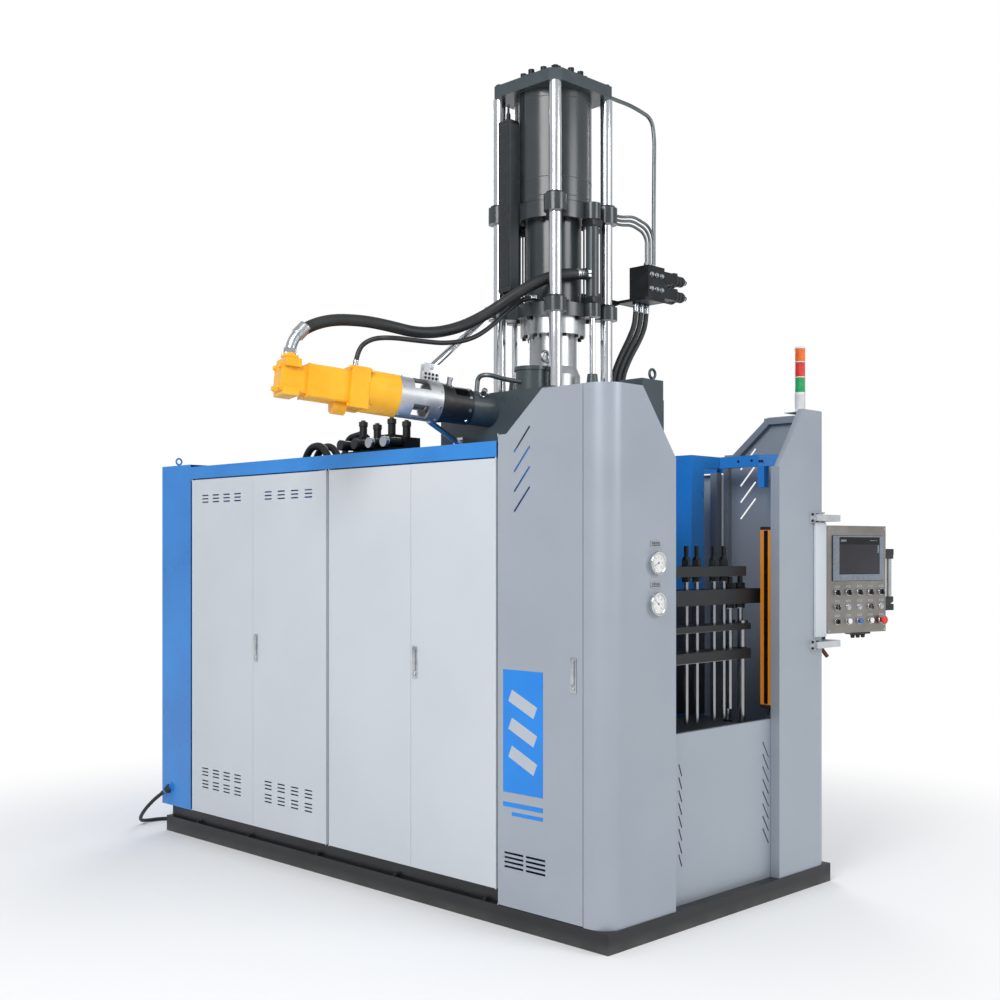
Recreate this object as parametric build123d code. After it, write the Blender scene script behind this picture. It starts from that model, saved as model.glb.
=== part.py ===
from build123d import *
from math import atan2, cos, degrees, hypot, pi, radians, sin, tan
import os

# Vertical rubber injection moulding machine: clamp press below, injection column and extruder above.
# Millimetres. Origin: centre of the base on the floor. +Z up, -Y the operator's front, -X the door side.

# Base and cabinet
body_length = 3214.0
body_width = 1624.0
plinth_height = 84.0
base_height = 146.0
plinth_beam = 120.0
ledge = 28.0
anchor_inset_x = 63.0
anchor_inset_y = 107.0
anchor_hole_r = 11.0
sheet = 3.0
running_gap = 0.3
fit_gap = 0.2

half_w = body_width / 2
half_l = body_length / 2
cover_front = -(half_l - 7.0)

# Front covers, measured back from their front face
cover_depth = 593.0
cover_rear = cover_front + cover_depth
seam_y = cover_front + 120.0
cover_top = 2212.0
cover_shoulder = cover_top - 172.0
cover_corner_r = 90.0
opening_left = -375.0
opening_right = 388.0
flange_back = cover_front + 46.0
side_slope = [(cover_rear - 50.0, cover_shoulder), (cover_rear - 254.0, cover_top)]
front_slope_top = half_w - 222.0
front_slope_foot = cover_top - 292.0
panel_top = 797.0
panel_tray = 20.0
tube = 30.0

# Rails, posts and the rear shell
rail_bottom = 1950.0
rail_top = rail_bottom + 66.0
rail_width = 60.0
rail_front = cover_rear + 7.0
post_width = 40.0
shell_depth = 294.0
shell_rear = half_l + 48.0
shell_front = shell_rear - shell_depth
shell_top = rail_top + 14.0
gland_y = shell_rear - 92.0
gland_z = 245.0
cable_r = 10.0

# Doors of the long side; the leaves' widths fill the run between the shell and the cover
leaf_widths = [578.0, 609.0, 592.0, 536.0]
pair_gap = 2.0
middle_gap = 24.0
door_rear = shell_front - 15.0
door_front = cover_rear + 10.0
door_bottom = base_height + 3.0
door_top = rail_bottom - 7.0
door_depth = 22.0
hinge_pin_r = 2.5
lock_level = 995.0
slit_height = 7.0
slit_pitch = 18.0
slit_length = 62.0
upper_slits = [door_top - 83.0]
lower_slits = [base_height + 247.0, base_height + 181.0]

# Press
press_y = -574.0
column_x = 400.0
column_w = 100.0
column_depth = 105.0
press_half_depth = 531.0
bed_top = 520.0
crown_bottom = 1600.0
crown_bore_r = 90.0
clamp_cylinder_r = 230.0
clamp_ram_r = 180.0
ram_bottom = base_height + 69.0
table_bottom = 780.0
table_thick = 60.0
insulation = 20.0
platen_thick = 100.0
platen_half = 300.0

# Demoulding station at the operator's side
station_y = cover_front + 200.0
station_half_depth = 60.0
floor_z = 770.0
floor_thick = 6.0
guide_half_x = 387.0
guide_plates = [(1201.0, 1229.0), (1069.0, 1114.0)]
guide_rod_x = 330.0
guide_rod_r = 14.0
upper_plate = (1444.0, 1489.0)
upper_half_x = 343.0
upper_pair_x = 204.0
upper_pair_half = 38.0
upper_rod_r = 10.0
lower_plate_z = (1319.0, 1386.0)
lower_half_x = 460.0
lower_rods = [(290.0, lower_plate_z[1] + 50.0), (371.0, lower_plate_z[1] + 74.0)]
lower_rod_r = 12.0

# Injection column above the crown
block_half_x = 400.0
block_half_y = 365.0
block_front = press_y - block_half_y
block_rear = press_y + block_half_y
block_bottom = rail_top + 14.0
block_top = block_bottom + 260.0
tie_offset = 182.5
tie_r = 30.0
lobe_r = 54.0
lower_plate_rise = 380.0
lower_plate_thick = 63.0
guide_gap = 402.0
middle_plate_thick = 78.0
low0 = block_top + lower_plate_rise
low1 = low0 + lower_plate_thick
mid0 = low1 + guide_gap
mid1 = mid0 + middle_plate_thick
cylinder_length = 525.0
guide_tube_r = 138.0
cylinder_r = 187.0
cylinder_bore_r = 120.0
top_plate_bottom = mid1 + cylinder_length
top_plate_thick = 57.0
top_plate_half = 222.0
top_plate_half_diagonal = 283.0
head_r = 180.0
head_thick = 25.0
head_bolts = 14
head_bolt_r = 15.0
plunger_rod_r = 80.0
nose_r = 40.0
barrel_r = 132.0
barrel_flange_r = 157.0
neck_r = 115.0
lift_offset_x = 60.0
lift_offset_y = 200.0
lift_tube_r = 31.0
lift_bore_r = 22.0
lift_rod_r = 14.0

# Extruder, stations measured along its own axis from the block's side
extruder_start = (-block_half_x, press_y + 49.0, block_top - 78.0)
extruder_yaw = 20.0
extruder_pitch = 5.5
boss_end = 100.0
feed_end = 255.0
lantern_end = 460.0
gearbox_end = 610.0
flange_end = 695.0
motor_end = 880.0
cap_end = 1000.0
boss_r = 79.0
feed_r = 84.0
lantern_r = 94.5
gearbox_r = 97.5
gearbox_flange = 182.0
motor_square = 146.0
screw_r = 30.0

# Operator panel, turned about the upright through its own corner
panel_corner = (half_w + 58.0, cover_front + 46.0)
panel_yaw = -11.13
panel_w = 424.0
panel_d = 80.0
panel_z = (1160.0, 1680.0)
pivot = (half_w + 36.0, cover_front + 65.0)
pivot_r = 10.0
control_x0 = 70.7
control_pitch = 79.6
control_rows = [panel_z[0] + rise for rise in (197.0, 127.0, 57.0)]
selector_shaft_r = 5.0

os.makedirs("parts", exist_ok=True)


def block(x0, x1, y0, y1, z0, z1):
    """Box from one corner to the other."""
    place = Pos((x0 + x1) / 2, (y0 + y1) / 2, (z0 + z1) / 2)
    return place * Box(abs(x1 - x0), abs(y1 - y0), abs(z1 - z0))


def upright(x, y, r, z0, z1):
    """Vertical round bar."""
    return Pos(x, y, (z0 + z1) / 2) * Cylinder(r, z1 - z0)


def cone(x, y, r_bottom, r_top, z0, z1):
    """Vertical tapered bar."""
    return Pos(x, y, (z0 + z1) / 2) * Cone(r_bottom, r_top, z1 - z0)


def square_tube(x0, x1, y0, y1, z0, z1, wall=3.0):
    """Hollow section whose length is its longest side."""
    outer = block(x0, x1, y0, y1, z0, z1)
    sides = [abs(x1 - x0), abs(y1 - y0), abs(z1 - z0)]
    long_axis = sides.index(max(sides))
    cut = [side if i == long_axis else side - 2 * wall for i, side in enumerate(sides)]
    return outer - Pos((x0 + x1) / 2, (y0 + y1) / 2, (z0 + z1) / 2) * Box(*cut)


def bar(start, end, r):
    """Straight round bar between two points."""
    path = Line(start, end)
    return sweep(Plane(start, z_dir=path % 0) * Circle(r), path)


def profile_x(points, x0, x1):
    """Outline given as (y, z) points, stretched from x0 to x1."""
    face = make_face(Polyline(*[(0, y, z) for y, z in points], close=True))
    return Pos(x0, 0, 0) * extrude(face, x1 - x0, dir=(1, 0, 0))


def profile_y(points, y0, y1):
    """Outline given as (x, z) points, stretched from y0 to y1."""
    face = make_face(Polyline(*[(x, 0, z) for x, z in points], close=True))
    return Pos(0, y0, 0) * extrude(face, y1 - y0, dir=(0, 1, 0))


def profile_z(points, z0, z1):
    """Outline given as (x, y) points, stretched from z0 to z1."""
    face = make_face(Polyline(*[(x, y, z0) for x, y in points], close=True))
    return extrude(face, z1 - z0, dir=(0, 0, 1))


def bend_radii(points):
    """Largest easy bend at each corner of a route: 0.45 of its shorter run over tan(half turn)."""
    radii = []
    for before, here, after in zip(points, points[1:], points[2:]):
        run_in = Vector(*here) - Vector(*before)
        run_out = Vector(*after) - Vector(*here)
        half_turn = radians(run_in.get_angle(run_out)) / 2
        radii.append(0.45 * min(run_in.length, run_out.length) / tan(half_turn))
    return radii


def route(points):
    """Straight runs joined by tangent arcs."""
    radii = bend_radii(points)
    return FilletPolyline(*points, radius=radii)


def hose(points, r):
    """Round hose or pipe along a route."""
    path = route(points)
    return sweep(Plane(path @ 0, z_dir=path % 0) * Circle(r), path)


def save(name, *pieces):
    """Write one node; pieces that don't touch stay separate solids of it."""
    solids = [solid for piece in pieces for solid in piece.solids()]
    shape = solids[0] if len(solids) == 1 else Compound(children=solids)
    export_step(shape, f"parts/{name}.step")


# Base: a ring of beams with cross beams, its upper ring set back behind the covers
press_front = press_y - press_half_depth
press_rear = press_y + press_half_depth
rear_beam = half_l - 847.0
cross_beams = [(press_front, press_front + plinth_beam), (press_rear - plinth_beam, press_rear),
               (rear_beam, rear_beam + plinth_beam)]


def base_frame():
    outer = block(-half_w, half_w, -half_l, half_l, 0, plinth_height)
    inner_x = half_w - plinth_beam
    upper_front = flange_back + panel_tray
    upper_rear = half_l - 17.0
    upper = block(-half_w + ledge, half_w - ledge, upper_front, upper_rear, plinth_height, base_height)
    hollow = block(-inner_x, inner_x, -half_l + plinth_beam, half_l - plinth_beam, 0, base_height)
    frame = outer + upper - hollow
    for y0, y1 in cross_beams:
        frame += block(-inner_x, inner_x, y0, y1, 0, base_height)
    for sx in (-1, 1):
        for sy in (-1, 1):
            hole = upright(sx * (half_w - anchor_inset_x), sy * (half_l - anchor_inset_y), anchor_hole_r,
                           0, base_height)
            frame -= hole
    return frame


def slits(y_from, y_to, rows, groups=4):
    """Groups of three level slits through a side sheet."""
    cuts = []
    step = (y_from - y_to - slit_length) / (groups - 1)
    for top in rows:
        for group in range(groups):
            y_high = y_from - group * step
            for i in range(3):
                z = top - i * slit_pitch
                cuts.append(block(-half_w - 1, -half_w + sheet + 1, y_high - slit_length, y_high,
                                  z - slit_height, z))
    return cuts


def lock(y, z0=lock_level):
    """Recessed lock: its escutcheon and lever stand a little proud of the sheet."""
    plate = block(-half_w - 2, -half_w, y - 13, y + 13, z0, z0 + 134)
    lever = block(-half_w - 6, -half_w - 2, y - 7, y + 7, z0 + 20, z0 + 122)
    return plate + lever


def leaf_edges():
    """Hinge edge and free edge of each leaf from the rear; the leaves of a pair open from their middle."""
    gaps = 2 * pair_gap + middle_gap
    spread = (door_rear - door_front - gaps) / sum(leaf_widths)
    edges = []
    y = door_rear
    for i, width in enumerate(leaf_widths):
        end = y - width * spread
        edges.append((y, end) if i % 2 == 0 else (end, y))
        y = end - (pair_gap if i % 2 == 0 else middle_gap)
    return edges


door_leaves = leaf_edges()


def door(index):
    """Folded sheet leaf with returns all round, outer face on the side plane."""
    hinge_y, free_y = door_leaves[index]
    y0, y1 = sorted((hinge_y, free_y))
    leaf = block(-half_w, -half_w + door_depth, y0, y1, door_bottom, door_top)
    leaf -= block(-half_w + sheet, -half_w + door_depth, y0 + sheet, y1 - sheet,
                  door_bottom + sheet, door_top - sheet)
    rows = upper_slits + lower_slits if index < 2 else []
    for cut in slits(y1 - 100, y0 + 110, rows):
        leaf -= cut
    leaf += upright(-half_w, hinge_y, hinge_pin_r, base_height + running_gap, door_bottom + 5)
    leaf += upright(-half_w, hinge_y, hinge_pin_r, door_top - 5, rail_bottom - 1)
    if index in (1, 3):
        leaf += lock(free_y - 27)
    return leaf


def side_panels():
    """Four fixed panels that close the far side."""
    panels = []
    for hinge_y, free_y in door_leaves:
        y0, y1 = sorted((hinge_y, free_y))
        panel = block(half_w - door_depth - running_gap, half_w, y0, y1, door_bottom, door_top)
        panel -= block(half_w - door_depth - running_gap, half_w - sheet, y0 + sheet, y1 - sheet,
                       door_bottom + sheet, door_top - sheet)
        for cut in slits(y1 - 100, y0 + 110, lower_slits):
            panel -= mirror(cut, Plane.YZ)
        panels.append(panel)
    return panels


post_outer = half_w - door_depth - running_gap
post_stations = [door_leaves[0][0], door_leaves[1][0] + 8.0, door_leaves[3][0] + 35.0]


def cabinet_posts():
    """Square posts behind the doors, and the cross tubes that tie them."""
    posts = []
    for side in (-1, 1):
        x0, x1 = sorted((side * post_outer, side * (post_outer - post_width)))
        for y in post_stations:
            posts.append(square_tube(x0, x1, y - post_width, y, base_height, rail_bottom))
    inner = post_outer - post_width
    for y in post_stations[:2]:
        posts.append(square_tube(-inner, inner, y - post_width, y, rail_bottom - post_width, rail_bottom))
    return posts


press_reach = column_x + column_w
beam_x = half_w - 199.0
beam_bend = cover_front + 258.0
beam_inner = [(press_reach, press_front), (beam_x + 18, press_front), (beam_x, beam_bend),
              (beam_x + 41, beam_bend - 83)]
beam_outer = [(beam_x + 59, beam_bend - 58), (beam_x + 42, beam_bend + 4), (beam_x + 60, press_front + 45),
              (press_reach, press_front + 45)]
beam_bottom = rail_top - 55.0
hanger_bottom = beam_bottom - 101.0


def top_rails():
    """Side rails over the doors and the cranked beams that carry the front covers' frames."""
    rails = []
    for side in (-1, 1):
        x0, x1 = sorted((side * half_w, side * (half_w - rail_width)))
        rails.append(square_tube(x0, x1, rail_front, shell_front, rail_bottom, rail_top))
        end_x = post_outer - tube if side < 0 else half_w - sheet - tube
        outline = beam_inner + [(end_x, beam_bend - 151), (end_x, beam_bend - 125)] + beam_outer
        beam = profile_z(outline, beam_bottom, rail_top)
        beam += block(beam_x - 1, beam_x + 37, beam_bend - 30, beam_bend + 6, hanger_bottom, beam_bottom)
        rails.append(beam if side > 0 else mirror(beam, Plane.YZ))
    return rails


def rear_shell():
    """Folded shell behind the cabinet, open towards it, with the cable gland on its side."""
    shell = block(-half_w, half_w, shell_front, shell_rear, base_height, shell_top)
    shell -= block(-half_w + sheet, half_w - sheet, shell_front, shell_rear - sheet,
                   base_height + sheet, shell_top - sheet)
    for x in (-half_w + 70, half_w - 70):
        stem = upright(x, shell_rear - 60, 8, shell_top, shell_top + 14)
        ring = Pos(x, shell_rear - 60, shell_top + 30) * Rot(90, 0, 0) * Torus(17, 5)
        shell += stem + ring
    return shell + gland_stub()


gland_direction = Vector(-0.50, 0.66, -0.56).normalized()
gland_base = Vector(-half_w + 1, gland_y, gland_z)
gland_mouth = gland_base + gland_direction * 46


def gland_stub():
    """Cable gland, tilted down and to the rear; solid, so the cable starts at its mouth."""
    flange = Pos(-half_w - 3, gland_y, gland_z) * Rot(0, 90, 0) * Cylinder(28, 6)
    stub = bar(gland_base, gland_mouth, 17)
    inside = block(-half_w + 0.5, -half_w + 60, gland_y - 60, gland_y + 60, gland_z - 60, gland_z + 60)
    return flange + (stub - inside)


def cover_plan(x_side, x_open, y_rear, r, z0, z1):
    """Upright sheet bent round one front corner, with a return flange at the opening."""
    x0, x1 = sorted((x_side, x_open))
    inward = 1 if x_side < 0 else -1

    def slab(inset):
        a = x0 + inset
        b = x1 - inset
        front = cover_front + inset
        back = y_rear if inset == 0 else y_rear + 10
        face = Pos((a + b) / 2, (front + back) / 2) * Rectangle(b - a, back - front)
        corner_x = x_side + inward * inset
        corner = min(face.vertices(), key=lambda v: hypot(v.X - corner_x, v.Y - front))
        return Pos(0, 0, z0) * extrude(fillet(corner, r - inset), z1 - z0)

    wall = slab(0) - slab(sheet)
    return wall - block(x_open - sheet - 1, x_open + sheet + 1, flange_back, y_rear + 20, z0, z1)


def front_slope_cut(side, x_open):
    """Corner removed above the front face's sloping edge."""
    points = [(side * front_slope_top, cover_top), (side * abs(x_open) - side * 12, front_slope_foot),
              (side * 200, front_slope_foot), (side * 200, cover_top + 50),
              (side * front_slope_top, cover_top + 50)]
    return profile_y(points, cover_front - 20, flange_back + 30)


def side_slope_cut(x0, x1):
    """Corner removed above the side wall's sloping edge."""
    points = [(cover_rear + 30, cover_shoulder), side_slope[0], side_slope[1],
              (side_slope[1][0], cover_top + 50), (cover_rear + 30, cover_top + 50)]
    return profile_x(points, x0, x1)


def left_cover():
    cover = cover_plan(-half_w, opening_left, seam_y - 1, cover_corner_r, plinth_height, cover_top)
    return cover - front_slope_cut(-1, opening_left)


def right_cover():
    cover = cover_plan(half_w, opening_right, cover_rear, cover_corner_r, plinth_height, cover_top)
    cover -= front_slope_cut(1, opening_right)
    cover -= side_slope_cut(half_w - 20, half_w + 20)
    for cut in cover_slots():
        cover -= mirror(cut, Plane.YZ)
    return cover


def cover_slots():
    """Four sloping slots near the side wall's upper edge."""
    cuts = []
    for i in range(4):
        z = cover_shoulder - 26.5 - i * 82.0
        slot = Box(20, 134, 9)
        cuts.append(Pos(-half_w, cover_rear - 140.5, z) * Rot(-48.6, 0, 0) * slot)
    return cuts


cover_door_front = seam_y + 2.0
cover_door_rear = cover_rear - 3.0


def left_cover_door():
    """Side door of the left cover: a tray whose top follows the slope."""
    def outline(inset):
        low = plinth_height + 3 + inset
        return [(cover_door_front + inset, low), (cover_door_rear - inset, low),
                (cover_door_rear - inset, cover_shoulder - inset),
                (side_slope[0][0] - inset * 0.4, side_slope[0][1] - inset),
                (side_slope[1][0] - inset * 0.4, side_slope[1][1] - inset),
                (cover_door_front + inset, cover_top - inset)]

    leaf = profile_x(outline(0), -half_w, -half_w + door_depth)
    leaf -= profile_x(outline(sheet), -half_w + sheet, -half_w + door_depth)
    for cut in cover_slots():
        leaf -= cut
    for y in (cover_rear - 41.0, cover_rear - 163.0):
        for i in range(4):
            z = 314.0 - i * 19.0
            leaf -= block(-half_w - 1, -half_w + sheet + 1, y - 108, y, z - 9, z)
    leaf += upright(-half_w, cover_door_rear, hinge_pin_r, plinth_height + running_gap, plinth_height + 8)
    leaf += upright(-half_w, cover_door_rear, hinge_pin_r, cover_shoulder - 8, cover_shoulder + 6)
    return leaf + lock(seam_y + 50.0, lock_level + 3.0)


corner_post_front = cover_front + sheet


def cover_frames():
    """Square tubes inside the covers, the floor's bearers and the lamp's bracket."""
    pieces = []
    slope_run = side_slope[1][0] - side_slope[0][0]
    slope_rise = side_slope[1][1] - side_slope[0][1]
    slope_length = hypot(slope_run, slope_rise)
    slope_angle = degrees(atan2(slope_rise, -slope_run))
    for side in (-1, 1):
        face = post_outer if side < 0 else half_w - sheet
        x0, x1 = sorted((side * face, side * (face - tube)))
        rear_top = cover_shoulder - 25
        rear_post = cover_rear - 43
        front_post = seam_y - 15
        frame = square_tube(x0, x1, rear_post, rear_post + tube, base_height, rear_top)
        frame += square_tube(x0, x1, front_post, front_post + tube, base_height, cover_top - 37)
        frame += square_tube(x0, x1, front_post - 10, side_slope[1][0], cover_top - 37, cover_top - 7)
        middle = Pos((x0 + x1) / 2, (side_slope[0][0] + side_slope[1][0]) / 2 - 12,
                     (cover_shoulder + cover_top) / 2 - 30)
        slope = Box(tube, slope_length, tube) - Box(tube - 6, slope_length, tube - 6)
        frame += middle * Rot(-slope_angle, 0, 0) * slope
        pieces.append(frame)
        open_x = opening_left if side < 0 else opening_right
        a = open_x - sheet if side < 0 else open_x + sheet
        p0, p1 = sorted((a, a + side * tube))
        pieces.append(square_tube(p0, p1, corner_post_front, corner_post_front + tube, base_height,
                                  front_slope_foot - 20))
        pieces.append(square_tube(p0, p1, corner_post_front + tube, press_front, floor_z - tube, floor_z))
    pieces.append(block(half_w - 172, half_w - 16, cover_front + 55, cover_front + 135,
                        cover_top - 7, cover_top - 4))
    return pieces


def lower_front_panel():
    """Fixed panel under the opening, a tray with two columns of sloping slots."""
    x0 = opening_left + 1
    x1 = opening_right - 1
    panel = block(x0, x1, flange_back, flange_back + panel_tray, plinth_height, panel_top)
    panel -= block(x0 + sheet, x1 - sheet, flange_back + sheet, flange_back + panel_tray,
                   plinth_height + sheet, panel_top - sheet)
    for i in range(8):
        left = Pos(opening_left + 89.5, flange_back, panel_top - 152 - i * 53.5)
        right = Pos(opening_right - 41, flange_back, panel_top - 133 - i * 55.5)
        panel -= left * Rot(0, -22, 0) * Box(7, 20, 56)
        panel -= right * Rot(0, -32.6, 0) * Box(7, 20, 88)
    return panel


def press_frame():
    """Welded press: bed, four upright columns and the crown."""
    y0 = press_front
    y1 = press_rear
    reach = press_reach
    frame = block(-reach, reach, y0, y1, base_height, bed_top)
    frame += block(-reach, reach, y0 + column_depth - 1, y1 - column_depth + 1, crown_bottom, rail_top)
    for x0 in (-reach, column_x):
        for a in (y0, y1 - column_depth):
            frame += block(x0, x0 + column_w, a, a + column_depth, bed_top - 1, rail_top)
    frame -= upright(0, press_y, clamp_cylinder_r + fit_gap, base_height, bed_top)
    return frame - upright(0, press_y, crown_bore_r, crown_bottom, rail_top)


def clamp_cylinder():
    body = upright(0, press_y, clamp_cylinder_r, base_height + 4, bed_top)
    body += upright(0, press_y, clamp_cylinder_r + 40, bed_top, bed_top + 40)
    return body - upright(0, press_y, clamp_ram_r + running_gap, base_height + 64, bed_top + 40)


def clamp_ram():
    return upright(0, press_y, clamp_ram_r, ram_bottom, table_bottom)


def plate_about_press(half_x, half_y, z0, z1):
    return block(-half_x, half_x, press_y - half_y, press_y + half_y, z0, z1)


table_half_y = press_half_depth - column_depth - 10
lower_hot_bottom = table_bottom + table_thick + insulation


def lower_platen():
    """Moving table with its insulating plate and heated platen."""
    top = table_bottom + table_thick
    return [plate_about_press(480, table_half_y, table_bottom, top),
            plate_about_press(platen_half, platen_half, top, lower_hot_bottom),
            plate_about_press(platen_half, platen_half, lower_hot_bottom, lower_hot_bottom + 80)]


def upper_platen():
    """Heated platen under the crown, with the sprue bush hole."""
    top = crown_bottom - insulation
    pad = plate_about_press(platen_half, platen_half, top, crown_bottom)
    pad -= upright(0, press_y, 62, top, crown_bottom)
    hot = plate_about_press(platen_half, platen_half, top - platen_thick, top)
    return [pad, hot - upright(0, press_y, 6, top - platen_thick, top)]


def nut(x, r, z0, height, y=station_y):
    """Hexagon nut."""
    return Pos(x, y, z0) * extrude(RegularPolygon(r, 6), height)


upper_rod_xs = [pair + side for pair in (-upper_pair_x, 0.0, upper_pair_x)
                for side in (-upper_pair_half, upper_pair_half)]
lower_rod_xs = [(side * x, top) for side in (-1, 1) for x, top in lower_rods]


def station_plate(half_x, z0, z1, holes, extra=5.0):
    plate = Pos(0, station_y, z0) * extrude(RectangleRounded(2 * half_x, 2 * (station_half_depth + extra),
                                                             26), z1 - z0)
    for x, r in holes:
        plate -= upright(x, station_y, r + running_gap, z0, z1)
    return plate


def ejector_guides():
    """Chamber floor, two fixed plates and the four chromed rods that carry them."""
    floor = block(opening_left - sheet - tube, opening_right + sheet + tube, flange_back + panel_tray,
                  press_front - 3, floor_z, floor_z + floor_thick)
    holes = [(x, upper_rod_r) for x in upper_rod_xs] + [(x, lower_rod_r) for x, _ in lower_rod_xs]
    guide = None
    for z0, z1 in guide_plates:
        plate = station_plate(guide_half_x, z0, z1, holes, 0.0)
        guide = plate if guide is None else guide + plate
    for x in (-guide_rod_x, guide_rod_x):
        for y in (station_y - 40, station_y + 40):
            guide += upright(x, y, guide_rod_r, floor_z + floor_thick, guide_plates[0][1] + 12)
    return [floor, guide]


def ejector_upper():
    z0, z1 = upper_plate
    plate = station_plate(upper_half_x, z0, z1, [])
    for x in upper_rod_xs:
        plate += upright(x, station_y, upper_rod_r, floor_z + 30, z1 + 90)
        plate += nut(x, 19, z1, 28) + nut(x, 19, z0 - 24, 24)
    return plate


def ejector_lower():
    z0, z1 = lower_plate_z
    plate = station_plate(lower_half_x, z0, z1, [(x, upper_rod_r) for x in upper_rod_xs])
    for x, top in lower_rod_xs:
        plate += upright(x, station_y, lower_rod_r, floor_z + 70, top)
        plate += nut(x, 22, z1, 26) + nut(x, 22, z0 - 24, 24)
    return plate


curtain_z = (846.0, 1666.0)
curtain_width = 48.0
curtain_depth = 56.0
curtain_front = flange_back + 2.0


def light_curtains():
    """Two upright sensor strips, a slot along each facing the other, with their brackets."""
    strips = []
    z0, z1 = curtain_z
    slot_front = curtain_front + 16
    for side in (-1, 1):
        x0 = (opening_right if side > 0 else -opening_left) + 4
        strip = block(x0, x0 + curtain_width, curtain_front, curtain_front + curtain_depth, z0, z1)
        strip -= block(x0, x0 + 6, slot_front, slot_front + 22, z0 + 16, z1 - 16)
        for z in (z0 + 54, z1 - 76):
            strip += block(x0 + 4, x0 + 24, corner_post_front + tube, curtain_front, z, z + 30)
        strips.append(strip if side > 0 else mirror(strip, Plane.YZ))
    return strips


lamp = (half_w - 112.0, cover_front + 88.0)
lamp_r = 25.0
lamp_foot = cover_top - 4
lens_levels = [cover_top + rise for rise in (92.0, 163.0, 235.0, 298.0)]


def stack_light_base():
    foot = upright(*lamp, lamp_r + 10, lamp_foot, lamp_foot + 6)
    return foot + upright(*lamp, lamp_r, lamp_foot + 6, lens_levels[0])


def stack_lenses():
    """Three lens rings and the cap."""
    rings = [upright(*lamp, lamp_r, z0, z1) for z0, z1 in zip(lens_levels, lens_levels[1:])]
    return rings + [upright(*lamp, lamp_r, lens_levels[-1], lens_levels[-1] + 9)]


gauge_x = -(half_w - 302.0)
gauge_levels = [1508.0, 1344.0]
gauge_r = 46.0


def pressure_gauges():
    gauges = []
    for z in gauge_levels:
        case = Pos(gauge_x, cover_front - 9, z) * Rot(90, 0, 0) * Cylinder(gauge_r, 18)
        case -= Pos(gauge_x, cover_front - 16.5, z) * Rot(90, 0, 0) * Cylinder(gauge_r - 7, 5)
        gauges.append(case)
        gauges.append(block(gauge_x - 32, gauge_x + 32, cover_front - 2, cover_front, z + 66, z + 88))
    return gauges


bracket_height = 30.0


def panel_brackets():
    """Cast brackets from the right cover to the panel's upright pin."""
    brackets = []
    plate_x = half_w - 172
    arm_end = pivot[0] + 22
    back = cover_front - 8
    for z0 in (panel_z[0] - 55, panel_z[1] + 17):
        z1 = z0 + bracket_height
        plate = block(plate_x, plate_x + 60, back, cover_front, z0 - 8, z1 + 8)
        arm = profile_z([(plate_x + 12, back), (plate_x + 12, back - 26), (arm_end - 12, back - 26),
                         (arm_end, back - 14), (arm_end, pivot[1]), (arm_end - 44, pivot[1]),
                         (arm_end - 44, back)], z0, z1)
        eye = upright(*pivot, 24, z0, z1)
        brackets.append(plate + arm + eye - upright(*pivot, pivot_r + 0.05, z0, z1))
    return brackets


panel_place = Pos(panel_corner[0], panel_corner[1], 0) * Rot(0, 0, panel_yaw)


def panel_block(x0, x1, y0, y1, z0, z1):
    """Box in the panel's own axes: x across its face, y from its face towards its back."""
    return panel_place * block(x0, x1, y0, y1, z0, z1)


def panel_button(x, z, r, y0, y1):
    """Round piece square to the panel's face, from depth y0 to y1."""
    return panel_place * Pos(x, (y0 + y1) / 2, z) * Rot(90, 0, 0) * Cylinder(r, y1 - y0)


control_xs = [control_x0 + i * control_pitch for i in range(5)]
bezel_r = 17.0


def panel_box():
    """Stainless box with the pivot pin and its lugs; fixed lamps and spare switches stay on it."""
    box = block(0, panel_w, 0, panel_d, *panel_z)
    box = box - block(sheet, panel_w - sheet, sheet, panel_d - sheet, panel_z[0] + sheet, panel_z[1] - sheet)
    box = panel_place * box
    box += panel_block(-10, 0, 4, panel_d - 4, panel_z[0] + 12, panel_z[1] - 12)
    for z in control_rows:
        for x in control_xs:
            box += panel_button(x, z, bezel_r, -4, 0)
    moving = [(0, i) for i in range(5)] + [(2, i) for i in range(1, 5)]
    for row, i in moving:
        box -= panel_button(control_xs[i], control_rows[row], selector_shaft_r + 0.1, -4, sheet)
    box += panel_block(198, 332, 20, 60, panel_z[0] - 10, panel_z[0])
    for z0, z1 in ((panel_z[0] - 10, panel_z[0] + 14), (panel_z[1] - 14, panel_z[1] + 10)):
        lug = panel_block(-42, -9, 8, 60, z0, z1)
        box += lug
    z_low = panel_z[0] - 62
    z_high = panel_z[1] + 56
    box += upright(*pivot, pivot_r, z_low, z_high)
    for z0 in (z_low - 6, z_high):
        box += upright(*pivot, pivot_r + 8, z0, z0 + 6)
    for row, i in ((1, 0), (1, 3)):
        box += panel_button(control_xs[i], control_rows[row], 12, -18, -4)
    for row, i in ((1, 1), (1, 2), (1, 4), (2, 0)):
        box += panel_button(control_xs[i], control_rows[row], 12, -8, -4)
    return box


def selector(i):
    """Knob with a raised finger bar and its shaft."""
    x = control_xs[i]
    z = control_rows[0]
    knob = panel_button(x, z, 13, -11, -4 - running_gap)
    knob += panel_block(x - 4, x + 4, -22, -10, z - 12, z + 12)
    return knob + panel_button(x, z, selector_shaft_r, -5, sheet + 9)


def push_button(i):
    """Round push button on its plunger."""
    x = control_xs[i]
    z = control_rows[2]
    return panel_button(x, z, 13, -16, -9) + panel_button(x, z, selector_shaft_r, -10, sheet + 9)


def emergency_stop():
    """Mushroom head on its plunger."""
    x = control_xs[4]
    z = control_rows[2]
    head = panel_button(x, z, 20, -30, -18) + panel_button(x, z, 13, -19, -10)
    return head + panel_button(x, z, selector_shaft_r, -11, sheet + 9)


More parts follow.
